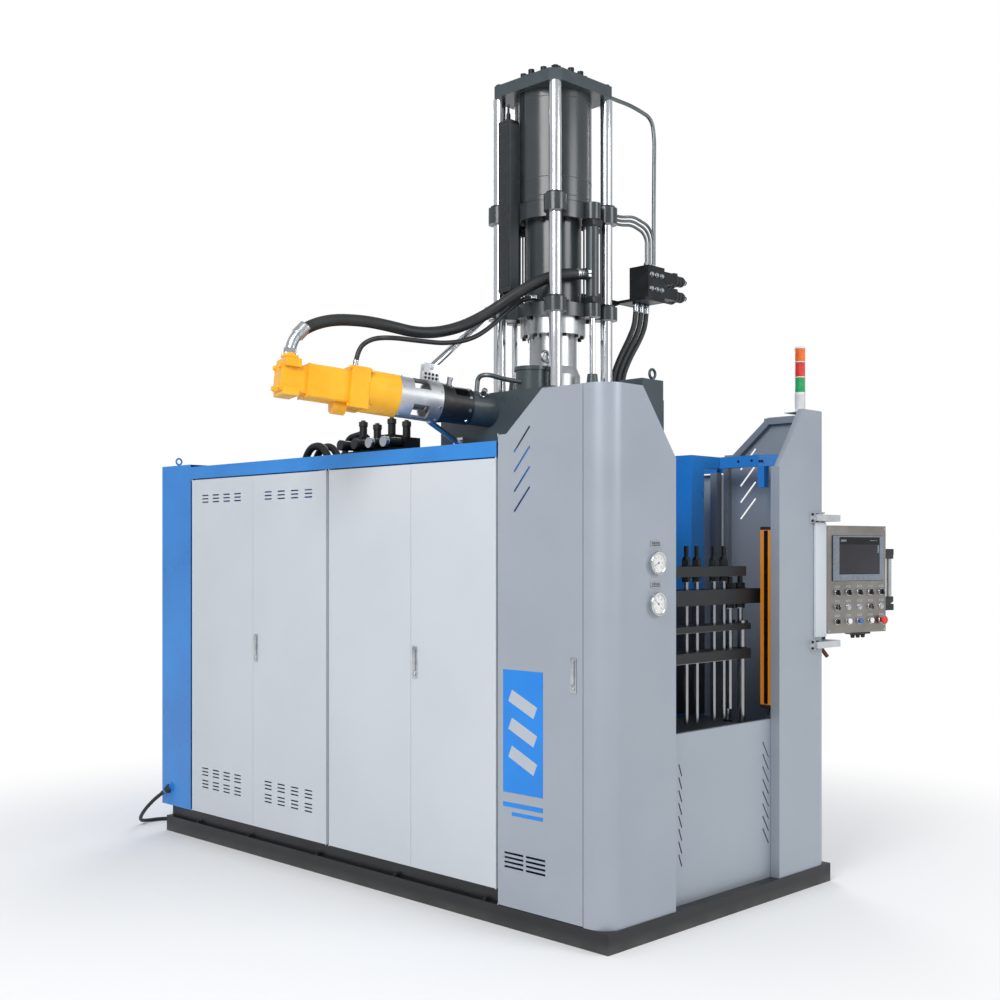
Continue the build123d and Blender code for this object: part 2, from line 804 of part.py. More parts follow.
def hmi_terminal():
    z0 = panel_z[1] - 266.3
    z1 = panel_z[1] - 49.3
    bezel = panel_block(37.7, 399.0, -6, 0, z0, z1)
    return bezel - panel_block(81.3, 373.0, -6, -4, z0 + 30, z1 - 6)


def panel_grip():
    """Upright grab tube on two stand-offs at the panel's free side."""
    x = panel_w + 72.0
    low = panel_z[0] + 130
    high = panel_z[1] - 140
    tube_bar = panel_place * upright(x, 40, 13, low, high)
    for z0, z1 in ((low - 29, low + 2), (high - 2, high + 28)):
        tube_bar += panel_block(panel_w, x + 18, 24, 56, z0, z1)
    return tube_bar


def column_outline(z0, z1, middle_r):
    """Round plate with a lobe at each tie rod and at each lift cylinder."""
    plate = upright(0, press_y, middle_r, z0, z1)
    for sx in (-1, 1):
        for sy in (-1, 1):
            x = sx * tie_offset
            y = press_y + sy * tie_offset
            plate += upright(x, y, lobe_r, z0, z1)
            arm = Pos(x / 2, press_y + sy * tie_offset / 2, (z0 + z1) / 2)
            plate += arm * Rot(0, 0, 45 * sx * sy) * Box(2 ** 0.5 * tie_offset, 80, z1 - z0)
    for side in (-1, 1):
        plate += upright(side * lift_offset_x, press_y - side * lift_offset_y, 40, z0, z1)
    return plate


transducer = (-241.0, -185.0, press_y + 52.0, press_y + 133.0)
transducer_z = (low1 + 63.0, top_plate_bottom - 137.0)


def guide_housing():
    """One casting: lower plate, guide tube and middle plate, bored for the plunger."""
    body = column_outline(low0, low1, cylinder_r - 3) + column_outline(mid0, mid1, cylinder_r - 3)
    body += upright(0, press_y, guide_tube_r, low1 - 1, mid0 + 1)
    for sx in (-1, 1):
        for sy in (-1, 1):
            body -= upright(sx * tie_offset, press_y + sy * tie_offset, tie_r + fit_gap, low0, mid1)
    for side in (-1, 1):
        body -= upright(side * lift_offset_x, press_y - side * lift_offset_y, lift_rod_r + 1, low0, low1)
    body -= upright(0, press_y, plunger_rod_r + running_gap, low0, mid1)
    x0, x1, y0, y1 = transducer
    return body - block(x0, x1, y0, y1, mid0, mid1)


def tie_rods():
    return [upright(sx * tie_offset, press_y + sy * tie_offset, tie_r, block_top, top_plate_bottom)
            for sx in (-1, 1) for sy in (-1, 1)]


def injection_cylinder():
    z0 = mid1
    body = upright(0, press_y, cylinder_r, z0, top_plate_bottom)
    return body - upright(0, press_y, cylinder_bore_r, z0, top_plate_bottom)


def top_plate():
    """Chamfered square plate, round head and its ring of socket screws."""
    z1 = top_plate_bottom + top_plate_thick
    a = top_plate_half
    c = top_plate_half_diagonal * 2 ** 0.5 - a
    corners = [(a, -c), (a, c), (c, a), (-c, a), (-a, c), (-a, -c), (-c, -a), (c, -a)]
    plate = profile_z([(x, y + press_y) for x, y in corners], top_plate_bottom, z1)
    plate += upright(0, press_y, head_r, z1 - 1, z1 + head_thick)
    for i in range(head_bolts):
        turn = 2 * pi * i / head_bolts
        x = 0.84 * head_r * cos(turn)
        y = press_y + 0.84 * head_r * sin(turn)
        plate += upright(x, y, head_bolt_r, z1 + head_thick - 1, z1 + head_thick + 28)
        plate -= Pos(x, y, z1 + head_thick + 16) * extrude(RegularPolygon(8, 6), 14)
    return plate


barrel_shoulder = block_top + 230.0
barrel_bore_bottom = block_bottom + 50.0
barrel_taper = block_top + 110.0
flange_bottom = low0 - 80.0
nozzle_tip = crown_bottom - insulation + 0.5


def injection_barrel():
    """Barrel from the guide housing down through the block, ending in the long nozzle."""
    top = low0
    taper_top = barrel_taper + 40
    body = upright(0, press_y, barrel_flange_r, flange_bottom, top)
    body += upright(0, press_y, neck_r, taper_top, flange_bottom + 1)
    body += cone(0, press_y, barrel_r, neck_r, barrel_taper, taper_top + 1)
    body += upright(0, press_y, barrel_r, block_top, barrel_taper + 1)
    body += upright(0, press_y, 99.8, block_bottom, block_top + 1)
    body += upright(0, press_y, 60, crown_bottom + 40, block_bottom + 1)
    body += cone(0, press_y, 20, 60, nozzle_tip, crown_bottom + 41)
    body -= upright(0, press_y, plunger_rod_r + 2, barrel_shoulder, top)
    body -= upright(0, press_y, nose_r + running_gap, barrel_bore_bottom, barrel_shoulder + 1)
    body -= upright(0, press_y, 8, nozzle_tip, barrel_bore_bottom + 1)
    ring = Pos(-122, press_y - 64, taper_top + 40) * Rot(90, 0, 27.7) * Torus(24, 7)
    return body + ring


def injection_plunger():
    """Piston, rod and the smaller nose that enters the barrel."""
    piston_bottom = top_plate_bottom - 178
    rod_bottom = low1 + 27
    nose_bottom = barrel_bore_bottom + 250
    piston = upright(0, press_y, cylinder_bore_r - running_gap, piston_bottom, piston_bottom + 80)
    rod = upright(0, press_y, plunger_rod_r, rod_bottom, piston_bottom + 1)
    return piston + rod + upright(0, press_y, nose_r, nose_bottom, rod_bottom + 1)


def lift_places():
    return [(side * lift_offset_x, press_y - side * lift_offset_y) for side in (-1, 1)]


def lift_cylinders():
    z0 = low1
    z1 = mid0
    tubes = []
    for x, y in lift_places():
        side = 1 if x > 0 else -1
        body = upright(x, y, lift_tube_r, z0, z1)
        body -= upright(x, y, lift_bore_r, z0 + 12, z1 - 12)
        body -= upright(x, y, lift_rod_r + running_gap, z0, z0 + 13)
        for z in (z0 + 30, z1 - 60):
            near, far = sorted((side * (lift_tube_r - 4), side * (lift_tube_r + 14)))
            body += Pos(x, y, z) * block(near, far, -11, 11, 0, 26)
        tubes.append(body)
    return tubes


def lift_rods():
    """Rods from the crown, through the block, to the pistons in the lift cylinders."""
    rods = []
    for x, y in lift_places():
        rod = upright(x, y, lift_rod_r, rail_top, mid0 - 60)
        rod += upright(x, y, 30, rail_top, rail_top + 10)
        rod += upright(x, y, lift_bore_r - running_gap, mid0 - 85, mid0 - 60)
        rods.append(rod)
    return rods


def transducer_box():
    x0, x1, y0, y1 = transducer
    return block(x0, x1, y0, y1, *transducer_z)


# The extruder's own axes: z along it from the block to the motor, y up
yaw = radians(extruder_yaw)
pitch = radians(extruder_pitch)
extruder_axis = Vector(-cos(yaw) * cos(pitch), sin(yaw) * cos(pitch), sin(pitch))
extruder_plane = Plane(origin=extruder_start, x_dir=(-sin(yaw), -cos(yaw), 0), z_dir=extruder_axis)


def on_extruder(shape):
    return extruder_plane * shape


def extruder_point(t, up=0.0, out=0.0):
    """Point at station t, so far above the axis and out towards the front."""
    p = extruder_plane.from_local_coords(Vector(out, up, t))
    return (p.X, p.Y, p.Z)


valve_box_x = (235.0, 398.0)
valve_box_y = (block_front + 2.0, block_front + 139.0)
valve_box_top = block_top + 95.0
bush = (-215.0, press_y - 64.0)
bush_r = 77.0
bush_top = block_top + 115.0


def unit_block():
    """Head block with the extruder's boss, the screw channel and the two bushes on top."""
    body = block(-block_half_x, block_half_x, block_front, block_rear, block_bottom, block_top)
    body += on_extruder(Pos(0, 0, boss_end / 2 - 15) * Cylinder(boss_r, boss_end + 30))
    body += upright(*bush, bush_r, block_top - 1, bush_top)
    body += upright(*bush, bush_r + 7, bush_top - 5, bush_top + 12)
    body += block(*valve_box_x, *valve_box_y, block_top - 1, valve_box_top)
    eye_x = valve_box_x[1] - 35
    eye_y = valve_box_y[0] + 40
    body += upright(eye_x, eye_y, 11, valve_box_top - 1, valve_box_top + 14)
    body += Pos(eye_x, eye_y, valve_box_top + 34) * Rot(90, 0, 40) * Torus(22, 7)
    for x, y in lift_places():
        body += cone(x, y, 36, 24, block_top - 1, block_top + 110)
        body -= upright(x, y, lift_rod_r + 1, block_bottom, block_top + 110)
        body -= upright(x, y, 32, block_bottom, block_bottom + 0.5)
    body -= upright(0, press_y, 100, block_bottom, block_top)
    return body - on_extruder(Pos(0, 0, -90) * Cylinder(screw_r + running_gap, 382))


feed_slot = (120.0, 190.0, 42.0)


def feed_housing():
    """Black feed section with its mouth on the front and top quarter."""
    body = Pos(0, 0, (boss_end + 200) / 2) * Cylinder(feed_r, 200 - boss_end)
    body += Pos(0, 0, 227.5) * Cone(feed_r, lantern_r, feed_end - 200)
    body -= Pos(0, 0, (boss_end + feed_end) / 2) * Cylinder(screw_r + running_gap, feed_end - boss_end)
    t0, t1, width = feed_slot
    mouth = Rot(0, 0, -50) * block(-width / 2, width / 2, 0, 120, t0, t1)
    for i in range(6):
        turn = Rot(0, 0, i * 60)
        body -= turn * Pos(0, feed_r - 10, boss_end + 10) * Cylinder(6, 20)
    return on_extruder(body - mouth)


def coupling_lantern():
    """Open spacer: two rings joined by four bridges, with a lug for the support strut."""
    length = lantern_end - feed_end
    body = Pos(0, 0, feed_end + length / 2) * (Cylinder(lantern_r, length) - Cylinder(lantern_r - 13, length))
    body += Pos(0, 0, feed_end + 7) * (Cylinder(lantern_r, 14) - Cylinder(screw_r + running_gap, 14))
    for i in range(4):
        body -= Rot(0, 0, 45 + 90 * i) * block(-36, 36, 60, 120, feed_end + 60, feed_end + 140)
    lug = block(-16, 16, lantern_r - 4, lantern_r + 38, feed_end + 15, feed_end + 75)
    return on_extruder(body + lug)


def gearbox():
    body = Pos(0, 0, (lantern_end + gearbox_end) / 2) * Cylinder(gearbox_r, gearbox_end - lantern_end)
    body += block(-gearbox_flange / 2, gearbox_flange / 2, -gearbox_flange / 2, gearbox_flange / 2,
                  gearbox_end - 1, flange_end)
    body += Pos(0, -gearbox_flange / 2 + 10, flange_end + 25) * Cylinder(42, 60)
    body -= Pos(0, 0, lantern_end + 50) * Cylinder(24.3, 101)
    return on_extruder(body)


def drive_motor():
    """Hydraulic motor: square body, eared end cover and its port boss."""
    h = motor_square / 2
    body = fillet(block(-h, h, -h, h, flange_end, motor_end).edges().filter_by(Axis.Z), 12)
    cap = block(-h + 14, h - 14, -h + 14, h - 14, motor_end - 1, cap_end)
    cap += block(-h - 6, h + 6, h - 26, h + 10, motor_end + 40, cap_end - 10)
    cap += block(-h - 6, h + 6, -h - 4, -h + 28, motor_end + 40, cap_end - 10)
    boss = Pos(0, h + 14, motor_end + 75) * Rot(90, 0, 0) * Cylinder(30, 50)
    body += cap + boss
    lower_gear_room = Pos(0, -gearbox_flange / 2 + 10, flange_end + 25) * Cylinder(42 + fit_gap, 60.4)
    return on_extruder(body - lower_gear_room)


def extruder_screw():
    """Screw shank with its coupling, shown through the lantern's windows."""
    screw = Pos(0, 0, -10) * Cylinder(screw_r, 530 - 20)
    screw += Pos(0, 0, 375) * Cylinder(46, 110)
    screw += Pos(0, 0, 470) * Cylinder(24, 90)
    return on_extruder(screw)


stay_r = 12.0


def support_struts():
    """Chromed stay from the lantern to the lower plate, and the black brace to the block."""
    lug_top = extruder_point(feed_end + 45, lantern_r + 54)
    plate_end = (-tie_offset - lobe_r - 14, press_y + tie_offset, low0 + 30)
    stay = bar(lug_top, plate_end, stay_r)
    clevis_foot = extruder_point(feed_end + 45, lantern_r + 38)
    clevis = bar(clevis_foot, extruder_point(feed_end + 45, lantern_r + 68), 16)
    pad = block(-tie_offset - lobe_r - 22, -tie_offset - lobe_r, press_y + tie_offset - 24,
                press_y + tie_offset + 24, low0 + 2, low1 - 2)
    brace_top = extruder_point(feed_end + 30, -lantern_r + 4)
    brace_foot = (-block_half_x - 14, press_y + 214, block_bottom + 32)
    brace = bar(brace_top, brace_foot, 13)
    foot = block(-block_half_x - 30, -block_half_x, press_y + 182, press_y + 246,
                 block_bottom + 6, block_bottom + 62)
    return [stay + clevis + pad, brace - coupling_lantern() - feed_housing() + foot]


manifold_x = (430.0, 560.0)
manifold_y = (press_y - 246.0, press_y - 126.0)
manifold_z = (low1 + 82.0, low1 + 242.0)


def valve_manifold():
    """Bracket, manifold block and two double solenoid valves pointing outwards."""
    shelf_z = manifold_z[0]
    foot_z = low1 + 2
    web_y = press_y - 54
    web = profile_y([(guide_tube_r - 6, foot_z), (guide_tube_r - 6, shelf_z), (manifold_x[1] - 10, shelf_z),
                     (manifold_x[1] - 10, shelf_z - 14), (manifold_x[0], shelf_z - 14), (262, foot_z)],
                    web_y - 12, web_y)
    web = web - upright(0, press_y, guide_tube_r, low1 - 33, mid0)
    shelf = block(manifold_x[0] - 20, manifold_x[1], manifold_y[0], web_y, shelf_z - 14, shelf_z)
    body = block(*manifold_x, *manifold_y, *manifold_z)
    valves = []
    valve_x = manifold_x[1]
    for z in (manifold_z[0] + 40, manifold_z[1] - 40):
        for y in (manifold_y[0] + 32, manifold_y[1] - 32):
            core = block(valve_x, valve_x + 100, y - 24, y + 24, z - 27, z + 27)
            core += Pos(valve_x + 140, y, z) * Rot(0, 90, 0) * Cylinder(25, 82)
            core += Pos(valve_x + 195, y, z) * Rot(0, 90, 0) * Cylinder(13, 30)
            valves.append(core)
    return [web + shelf, body] + valves


def hydraulic_hoses():
    """Hoses that run between fittings on the unit."""
    port = extruder_point(motor_end + 75, motor_square / 2 + 39)
    lift_x, lift_y = lift_places()[1]
    big = hose([port, extruder_point(motor_end + 75, 165), extruder_point(motor_end + 20, 235),
                extruder_point(motor_end - 90, 290), extruder_point(motor_end - 230, 310),
                (-880, -360, 2570), (-700, -400, 2545), (-530, -450, 2580), (-390, -520, 2660),
                (-290, -610, 2760), (-180, -690, 2835), (-80, -752, 2865),
                (lift_x - lift_tube_r + 6, lift_y, 2872)], 22)
    small_start = extruder_point(gearbox_end + 45, gearbox_flange / 2)
    small = hose([small_start, extruder_point(gearbox_end + 45, 175), extruder_point(gearbox_end - 10, 235),
                  (-900, -420, 2505), (-760, -460, 2500), (-620, -490, 2500), (-480, -510, 2535),
                  (-380, -530, 2600), (-290, -560, 2690), (-205, -580, 2755),
                  (-guide_tube_r + 3, press_y - 16, 2764)], 11)
    small -= upright(0, press_y, guide_tube_r, low1, mid0)
    big -= upright(lift_x, lift_y, lift_tube_r, low1, mid0)
    drops = []
    for i in range(3):
        x = manifold_x[0] + 20.0 + 42.0 * i
        foot_x = 290.0 + 38.0 * i
        drops.append(hose([(x, -724, manifold_z[0] - 14), (x, -724, 2710), (x - 40, -716, 2620),
                           (foot_x + 50, -706, 2510), (foot_x, -700, 2400), (foot_x, -700, block_top)], 13))
    return [big, small] + drops


def steel_pipes():
    """Bent steel pipes of the column."""
    z = top_plate_bottom + top_plate_thick / 2
    y = press_y - 170
    long_pipe = hose([(top_plate_half, y, z), (400, y, z), (540, y - 10, z - 30), (556, y - 14, z - 130),
                      (548, y - 16, 3300), (548, y - 16, manifold_z[1])], 10)
    lobe_y = press_y - tie_offset
    lobe_x = tie_offset + lobe_r
    pipes = [long_pipe]
    for i in range(3):
        start_z = mid0 + 20 + 20 * i
        end_x = 465 + 28 * i
        pipes.append(hose([(lobe_x - 2, lobe_y, start_z), (lobe_x + 60, lobe_y, start_z),
                           (lobe_x + 130, lobe_y - 8 - 6 * i, start_z + 12), (end_x, -778, start_z - 20),
                           (end_x, -778, manifold_z[1])], 7))
        pipes[-1] -= upright(tie_offset, lobe_y, lobe_r, mid0, mid1)
    elbow = hose([extruder_point(60, boss_r - 2), extruder_point(60, 150), (-430, -560, 2372),
                  (-350, -600, 2352), (-288, -636, 2345)], 11)
    elbow -= on_extruder(Pos(0, 0, 60) * Cylinder(boss_r, 200))
    elbow -= upright(*bush, bush_r, block_top + 10, bush_top - 5)
    return pipes + [elbow]


tank_y = (300.0, 1200.0)
tank_top = 800.0


def power_pack():
    """Oil tank with the pump set on its lid."""
    tank = block(-560, 560, *tank_y, base_height, tank_top - 10)
    lid = block(-575, 575, tank_y[0] - 15, tank_y[1] + 15, tank_top - 10, tank_top)
    motor = Pos(180, 860, tank_top + 190) * Rot(90, 0, 0) * Cylinder(150, 520)
    feet = block(60, 300, 680, 1040, tank_top, tank_top + 70)
    bell = Pos(180, 550, tank_top + 190) * Rot(90, 0, 0) * Cylinder(105, 100)
    pump = Pos(180, 430, tank_top + 190) * Rot(90, 0, 0) * Cylinder(70, 140)
    return [tank, lid, motor + feet, bell, pump]


stand_x = -300.0
stand_y = (60.0, 620.0)


def valve_stand():
    """Stand on the tank with the clamp manifold, its valves, a pipe bend and two hose loops."""
    x = stand_x
    y0, y1 = stand_y
    shelf_top = rail_bottom + 25
    body_top = shelf_top + 100
    leg = square_tube(x - 50, x + 50, tank_y[0] + 60, tank_y[0] + 160, tank_top, shelf_top - 15)
    shelf = block(x - 110, x + 110, y0, 1010, shelf_top - 15, shelf_top)
    body = block(x - 90, x + 60, y0 + 20, y1 - 40, shelf_top, body_top)
    pieces = [leg, shelf, body]
    for i in range(4):
        y = y0 + 75 + i * 115
        lift = 22 * (i % 2)
        valve = block(x - 60, x + 40, y - 36, y + 36, body_top, body_top + 55 + lift)
        valve += Pos(x - 105, y, body_top + 28) * Rot(0, 90, 0) * Cylinder(25, 92)
        valve += Pos(x - 20, y, body_top + 85 + lift) * Cylinder(20, 62)
        pieces.append(valve)
    pieces.append(hose([(x, y1 + 40, 1975), (x, y1 + 42, 2090), (x + 2, y1 + 10, 2160), (x, y1 - 110, 2176),
                        (x - 2, y1 - 150, 2150)], 17))
    for i in range(2):
        dx = -60 + 70 * i
        pieces.append(hose([(x + dx, 720, 1975), (x + dx, 722, 2060), (x + dx + 2, 790, 2128),
                            (x + dx, 880, 2122), (x + dx - 2, 930, 2060), (x + dx, 934, 1975)], 20))
    return pieces


def control_gear():
    """Mounting plate with the contactors and drives inside the rear shell."""
    y = shell_rear - sheet
    first = -(half_w - 212)
    pitch = (-2 * first - 160) / 4
    plate = block(-(half_w - 112), half_w - 112, y - 4, y, 300, 1900)
    for row, z in enumerate((450, 800, 1150, 1500)):
        for i in range(5):
            x = first + i * pitch
            plate += block(x, x + 170 + 20 * (row % 2), y - 110, y - 3, z, z + 200)
    return plate


# Mains cable: out of the gland, down and round behind the shell into a small coil, then the plug
coil_centre = (-430.0, 1905.0)
coil_inner_r = 88.0
coil_outer_r = 134.0
coil_height = 41.0
plug_back = (-310.0, 1768.0, 31.0)
plug_r = 31.0
cable_lead = [tuple(gland_mouth + gland_direction * 52), (-885.0, 1690.0, 130.0), (-885.0, 1760.0, 70.0),
              (-850.0, 1830.0, 26.0), (-780.0, 1870.0, 11.0), (-700.0, 1860.0, 10.5),
              (-625.0, 1805.0, 10.5), (-545.0, 1775.0, 10.5)]
cable_end = (coil_centre[0] - 40.0, coil_centre[1] - coil_outer_r + 3.0, 10.5)


def power_cable():
    points = [tuple(gland_mouth)] + cable_lead + [cable_end]
    return hose(points, cable_r) - cable_coil()


def cable_coil():
    ring = upright(*coil_centre, coil_outer_r, 0, coil_height)
    ring -= upright(*coil_centre, coil_inner_r, 0, coil_height)
    tail_start = (coil_centre[0] + 20, plug_back[1], plug_back[2])
    return ring + bar(tail_start, plug_back, cable_r)


def mains_plug():
    """Round industrial plug lying beside the coil, its narrow gland towards the cable."""
    gland_length = 26.0
    shell_length = 82.0
    gland = Cylinder(20, gland_length, align=(Align.CENTER, Align.CENTER, Align.MIN))
    body = Pos(0, 0, gland_length) * Cylinder(plug_r, shell_length,
                                              align=(Align.CENTER, Align.CENTER, Align.MIN))
    return Pos(*plug_back) * Rot(0, 90, 0) * (gland + body)


save("base_frame", base_frame())
save("press_frame", press_frame())
save("top_rails", *top_rails())
save("rear_shell", rear_shell(), control_gear())
save("right_side_panels", *side_panels())
save("left_cover", left_cover())
save("right_cover", right_cover())
save("inner_frames", *cabinet_posts(), *cover_frames())
save("lower_front_panel", lower_front_panel())
save("ejector_guides", *ejector_guides())
save("light_curtains", *light_curtains())
save("stack_light", stack_light_base(), *stack_lenses())
save("pressure_gauges", *pressure_gauges())
save("panel_brackets", *panel_brackets())
save("power_pack", *power_pack())
save("valve_stand", *valve_stand())
save("clamp_cylinder", clamp_cylinder())
save("lift_rods", *lift_rods())
save("upper_platen", *upper_platen())
save("power_cable", power_cable())
save("cable_coil", cable_coil())
save("mains_plug", mains_plug())

save("unit_block", unit_block())
save("tie_rods", *tie_rods())
save("top_plate", top_plate())
save("injection_cylinder", injection_cylinder())
save("guide_housing", guide_housing())
save("injection_barrel", injection_barrel())
save("lift_cylinders", *lift_cylinders())
save("transducer_box", transducer_box())
save("valve_manifold", *valve_manifold())
save("feed_housing", feed_housing())
save("coupling_lantern", coupling_lantern())
save("gearbox", gearbox())
save("drive_motor", drive_motor())
save("support_struts", *support_struts())
save("hydraulic_hoses", *hydraulic_hoses())
save("steel_pipes", *steel_pipes())

save("injection_plunger", injection_plunger())
save("extruder_screw", extruder_screw())
save("lower_platen", clamp_ram(), *lower_platen())
save("ejector_upper", ejector_upper())
save("ejector_lower", ejector_lower())
for number in range(4):
    save(f"cabinet_door_{number + 1}", door(number))
save("left_cover_door", left_cover_door())

save("panel_box", panel_box())
save("hmi_terminal", hmi_terminal())
save("panel_grip", panel_grip())
for number in range(5):
    save(f"selector_{number + 1}", selector(number))
for number in range(1, 4):
    save(f"push_button_{number}", push_button(number))
save("emergency_stop", emergency_stop())
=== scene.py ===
import bpy
from math import asin, cos, pi, radians, sin
from mathutils import Matrix, Vector


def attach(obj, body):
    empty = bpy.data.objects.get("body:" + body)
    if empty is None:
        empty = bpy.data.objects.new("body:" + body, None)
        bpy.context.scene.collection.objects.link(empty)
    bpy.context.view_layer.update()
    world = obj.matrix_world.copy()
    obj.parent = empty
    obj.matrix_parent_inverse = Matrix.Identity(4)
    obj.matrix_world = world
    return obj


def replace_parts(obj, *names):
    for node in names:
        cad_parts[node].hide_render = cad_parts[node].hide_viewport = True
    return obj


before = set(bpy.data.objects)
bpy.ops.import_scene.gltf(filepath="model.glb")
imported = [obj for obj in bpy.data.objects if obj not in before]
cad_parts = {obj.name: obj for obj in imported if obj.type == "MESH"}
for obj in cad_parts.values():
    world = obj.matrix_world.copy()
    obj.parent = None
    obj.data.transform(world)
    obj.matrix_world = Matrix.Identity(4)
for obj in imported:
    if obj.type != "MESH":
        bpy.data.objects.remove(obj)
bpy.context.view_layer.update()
bpy.ops.object.select_all(action="DESELECT")


# Camera: level, at eye height in front of the operator's left, as far off as the real one stood.
# The picture's horizon lies a little under its middle, which the shift gives.
camera_forward = (0.7083, 0.7059)
bpy.ops.object.camera_add(location=(-4.62365, -4.8205, 1.55),
                          rotation=(pi / 2, 0, -asin(camera_forward[0])))
camera = bpy.context.object
camera.data.sensor_width = 36.0
camera.data.lens = 46.62
camera.data.shift_y = 0.0525
camera.data.clip_end = 100.0
bpy.context.scene.camera = camera


# Mains cable: four cores in black rubber, 20 mm thick, three metres of it. It leaves the gland low on the
# rear shell, drops to the floor in one loose curve and ends as three turns wound behind the machine.
cable_radius = 0.010
gland_mouth = (-0.8340, 1.5934, 0.2192)
cable_points = [gland_mouth, (-0.8600, 1.6277, 0.1901), (-0.885, 1.690, 0.130), (-0.885, 1.760, 0.070),
                (-0.850, 1.830, 0.026), (-0.780, 1.870, 0.011), (-0.700, 1.860, 0.0105),
                (-0.625, 1.805, 0.0105), (-0.545, 1.775, 0.0105), (-0.470, 1.774, 0.0105)]
coil_centre = (-0.430, 1.905)
outer_turn = 0.1244
inner_turn = 0.1020
top_turn = 0.1131
lifted_turn = 0.1356
floor_level = 0.0105
second_level = 0.028
third_level = 0.031
rise_onto_coil = {24: 0.0125, 25: 0.018, 26: 0.024, 27: 0.029, 28: 0.031, 29: 0.031, 30: 0.0295}
turn_steps = 16
for step in range(1, 3 * turn_steps + 1):
    bearing = radians(270 + 360 / turn_steps * step)
    if step <= 14:
        turn_radius = outer_turn - (outer_turn - inner_turn) * max(0, step - 10) / 4
    elif step <= 30:
        turn_radius = inner_turn + (top_turn - inner_turn) * max(0, step - 26) / 4
    else:
        turn_radius = min(top_turn + (lifted_turn - top_turn) * max(0, step - 36) / 8, lifted_turn)
    resting = floor_level if step < 24 else second_level if step < 37 else third_level
    cable_points.append((coil_centre[0] + turn_radius * cos(bearing),
                         coil_centre[1] + turn_radius * sin(bearing), rise_onto_coil.get(step, resting)))
cable_points += [(x, 1.768, third_level) for x in (-0.385, -0.345, -0.310)]


def flexible_line(name, points, radius, sides=6):
    """Smooth round line that has the route's points as its control points."""
    curve = bpy.data.curves.new(name, "CURVE")
    curve.dimensions = "3D"
    curve.bevel_depth = radius
    curve.bevel_resolution = sides
    curve.use_fill_caps = True
    line = curve.splines.new("NURBS")
    line.points.add(len(points) - 1)
    for control, place in zip(line.points, points):
        control.co = (*place, 1.0)
    line.order_u = 3
    line.use_endpoint_u = True
    curve.resolution_u = 10
    piece = bpy.data.objects.new(name, curve)
    bpy.context.collection.objects.link(piece)
    return piece


def paint(hex_colour):
    """sRGB hex to linear colour."""
    parts = [int(hex_colour[i:i + 2], 16) / 255 for i in (1, 3, 5)]
    return tuple(c / 12.92 if c <= 0.04045 else ((c + 0.055) / 1.055) ** 2.4 for c in parts) + (1.0,)


def start_material(name, colour, metallic, roughness, **more):
    """New material with its shader's own sockets set."""
    material = bpy.data.materials.new(name)
    material.use_nodes = True
    shader = material.node_tree.nodes["Principled BSDF"]
    shader.inputs["Base Color"].default_value = paint(colour)
    shader.inputs["Metallic"].default_value = metallic
    shader.inputs["Roughness"].default_value = roughness
    for socket, value in more.items():
        shader.inputs[socket.replace("_", " ")].default_value = value
    return material, shader


def add(material, kind, settings=(), inputs=(), out=None, to=None):
    """Add a node: its settings, its inputs as values, nodes or sockets, and where its output goes."""
    node = material.node_tree.nodes.new("ShaderNode" + kind)
    for field, value in dict(settings).items():
        setattr(node, field, value)
    for socket, value in dict(inputs).items():
        if isinstance(value, bpy.types.Node):
            value = value.outputs[0]
        if isinstance(value, bpy.types.NodeSocket):
            material.node_tree.links.new(value, node.inputs[socket])
        else:
            node.inputs[socket].default_value = value
    if to is not None:
        material.node_tree.links.new(node.outputs[out if out is not None else 0], to)
    return node


def set_ramp(ramp, stops, change="LINEAR"):
    """Stops of a ramp, each a place and a linear colour."""
    ramp.interpolation = change
    while len(ramp.elements) < len(stops):
        ramp.elements.new(1.0)
    for element, (place, colour) in zip(ramp.elements, stops):
        element.position = place
        element.color = colour


def grained(material, shader, colours, patch, rough, grain, height, stretch=(1.0, 1.0, 1.0)):
    """Soft patches of two near colours and of gloss, and a fine grain; patch and grain are in metres.
    A stretch below 1 draws the grain out along that axis, as brushing or turning does."""
    place = add(material, "TexCoord").outputs["Object"]
    soft = add(material, "TexNoise", {}, {"Vector": place, "Scale": 1 / patch, "Detail": 3.0})
    tone = add(material, "ValToRGB", {}, {"Fac": soft}, "Color", shader.inputs["Base Color"])
    set_ramp(tone.color_ramp, [(0.3, paint(colours[0])), (0.7, paint(colours[1]))])
    add(material, "MapRange", {}, {"Value": soft, "From Min": 0.3, "From Max": 0.7, "To Min": rough[0],
        "To Max": rough[1]}, "Result", shader.inputs["Roughness"])
    drawn = add(material, "Mapping", {}, {"Vector": place, "Scale": stretch})
    fine = add(material, "TexNoise", {}, {"Vector": drawn, "Scale": 1 / grain, "Detail": 2.0})
    add(material, "Bump", {}, {"Height": fine, "Distance": height, "Strength": 0.6}, "Normal",
        shader.inputs["Normal"])
    return place, tone


def finish(name, colour, metallic, roughness, *skin, **more):
    """Whole material: its shader's own sockets, then the patches and grain of its skin."""
    material, shader = start_material(name, colour, metallic, roughness, **more)
    grained(material, shader, *skin)
    return material


# Chloroprene rubber, extruded: dull black with a faint grey bloom and the drag lines of the die.
cable_rubber = finish("chloroprene_rubber_extruded", "#1B1C1D", 0.0, 0.55, ["#17181A", "#26282A"], 0.06,
                      (0.48, 0.62), 0.004, 0.0004, IOR=1.52)

mains_cable = flexible_line("mains_cable", cable_points, cable_radius)
mains_cable.data.materials.append(cable_rubber)
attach(mains_cable, "machine_frame")
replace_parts(mains_cable, "power_cable", "cable_coil")


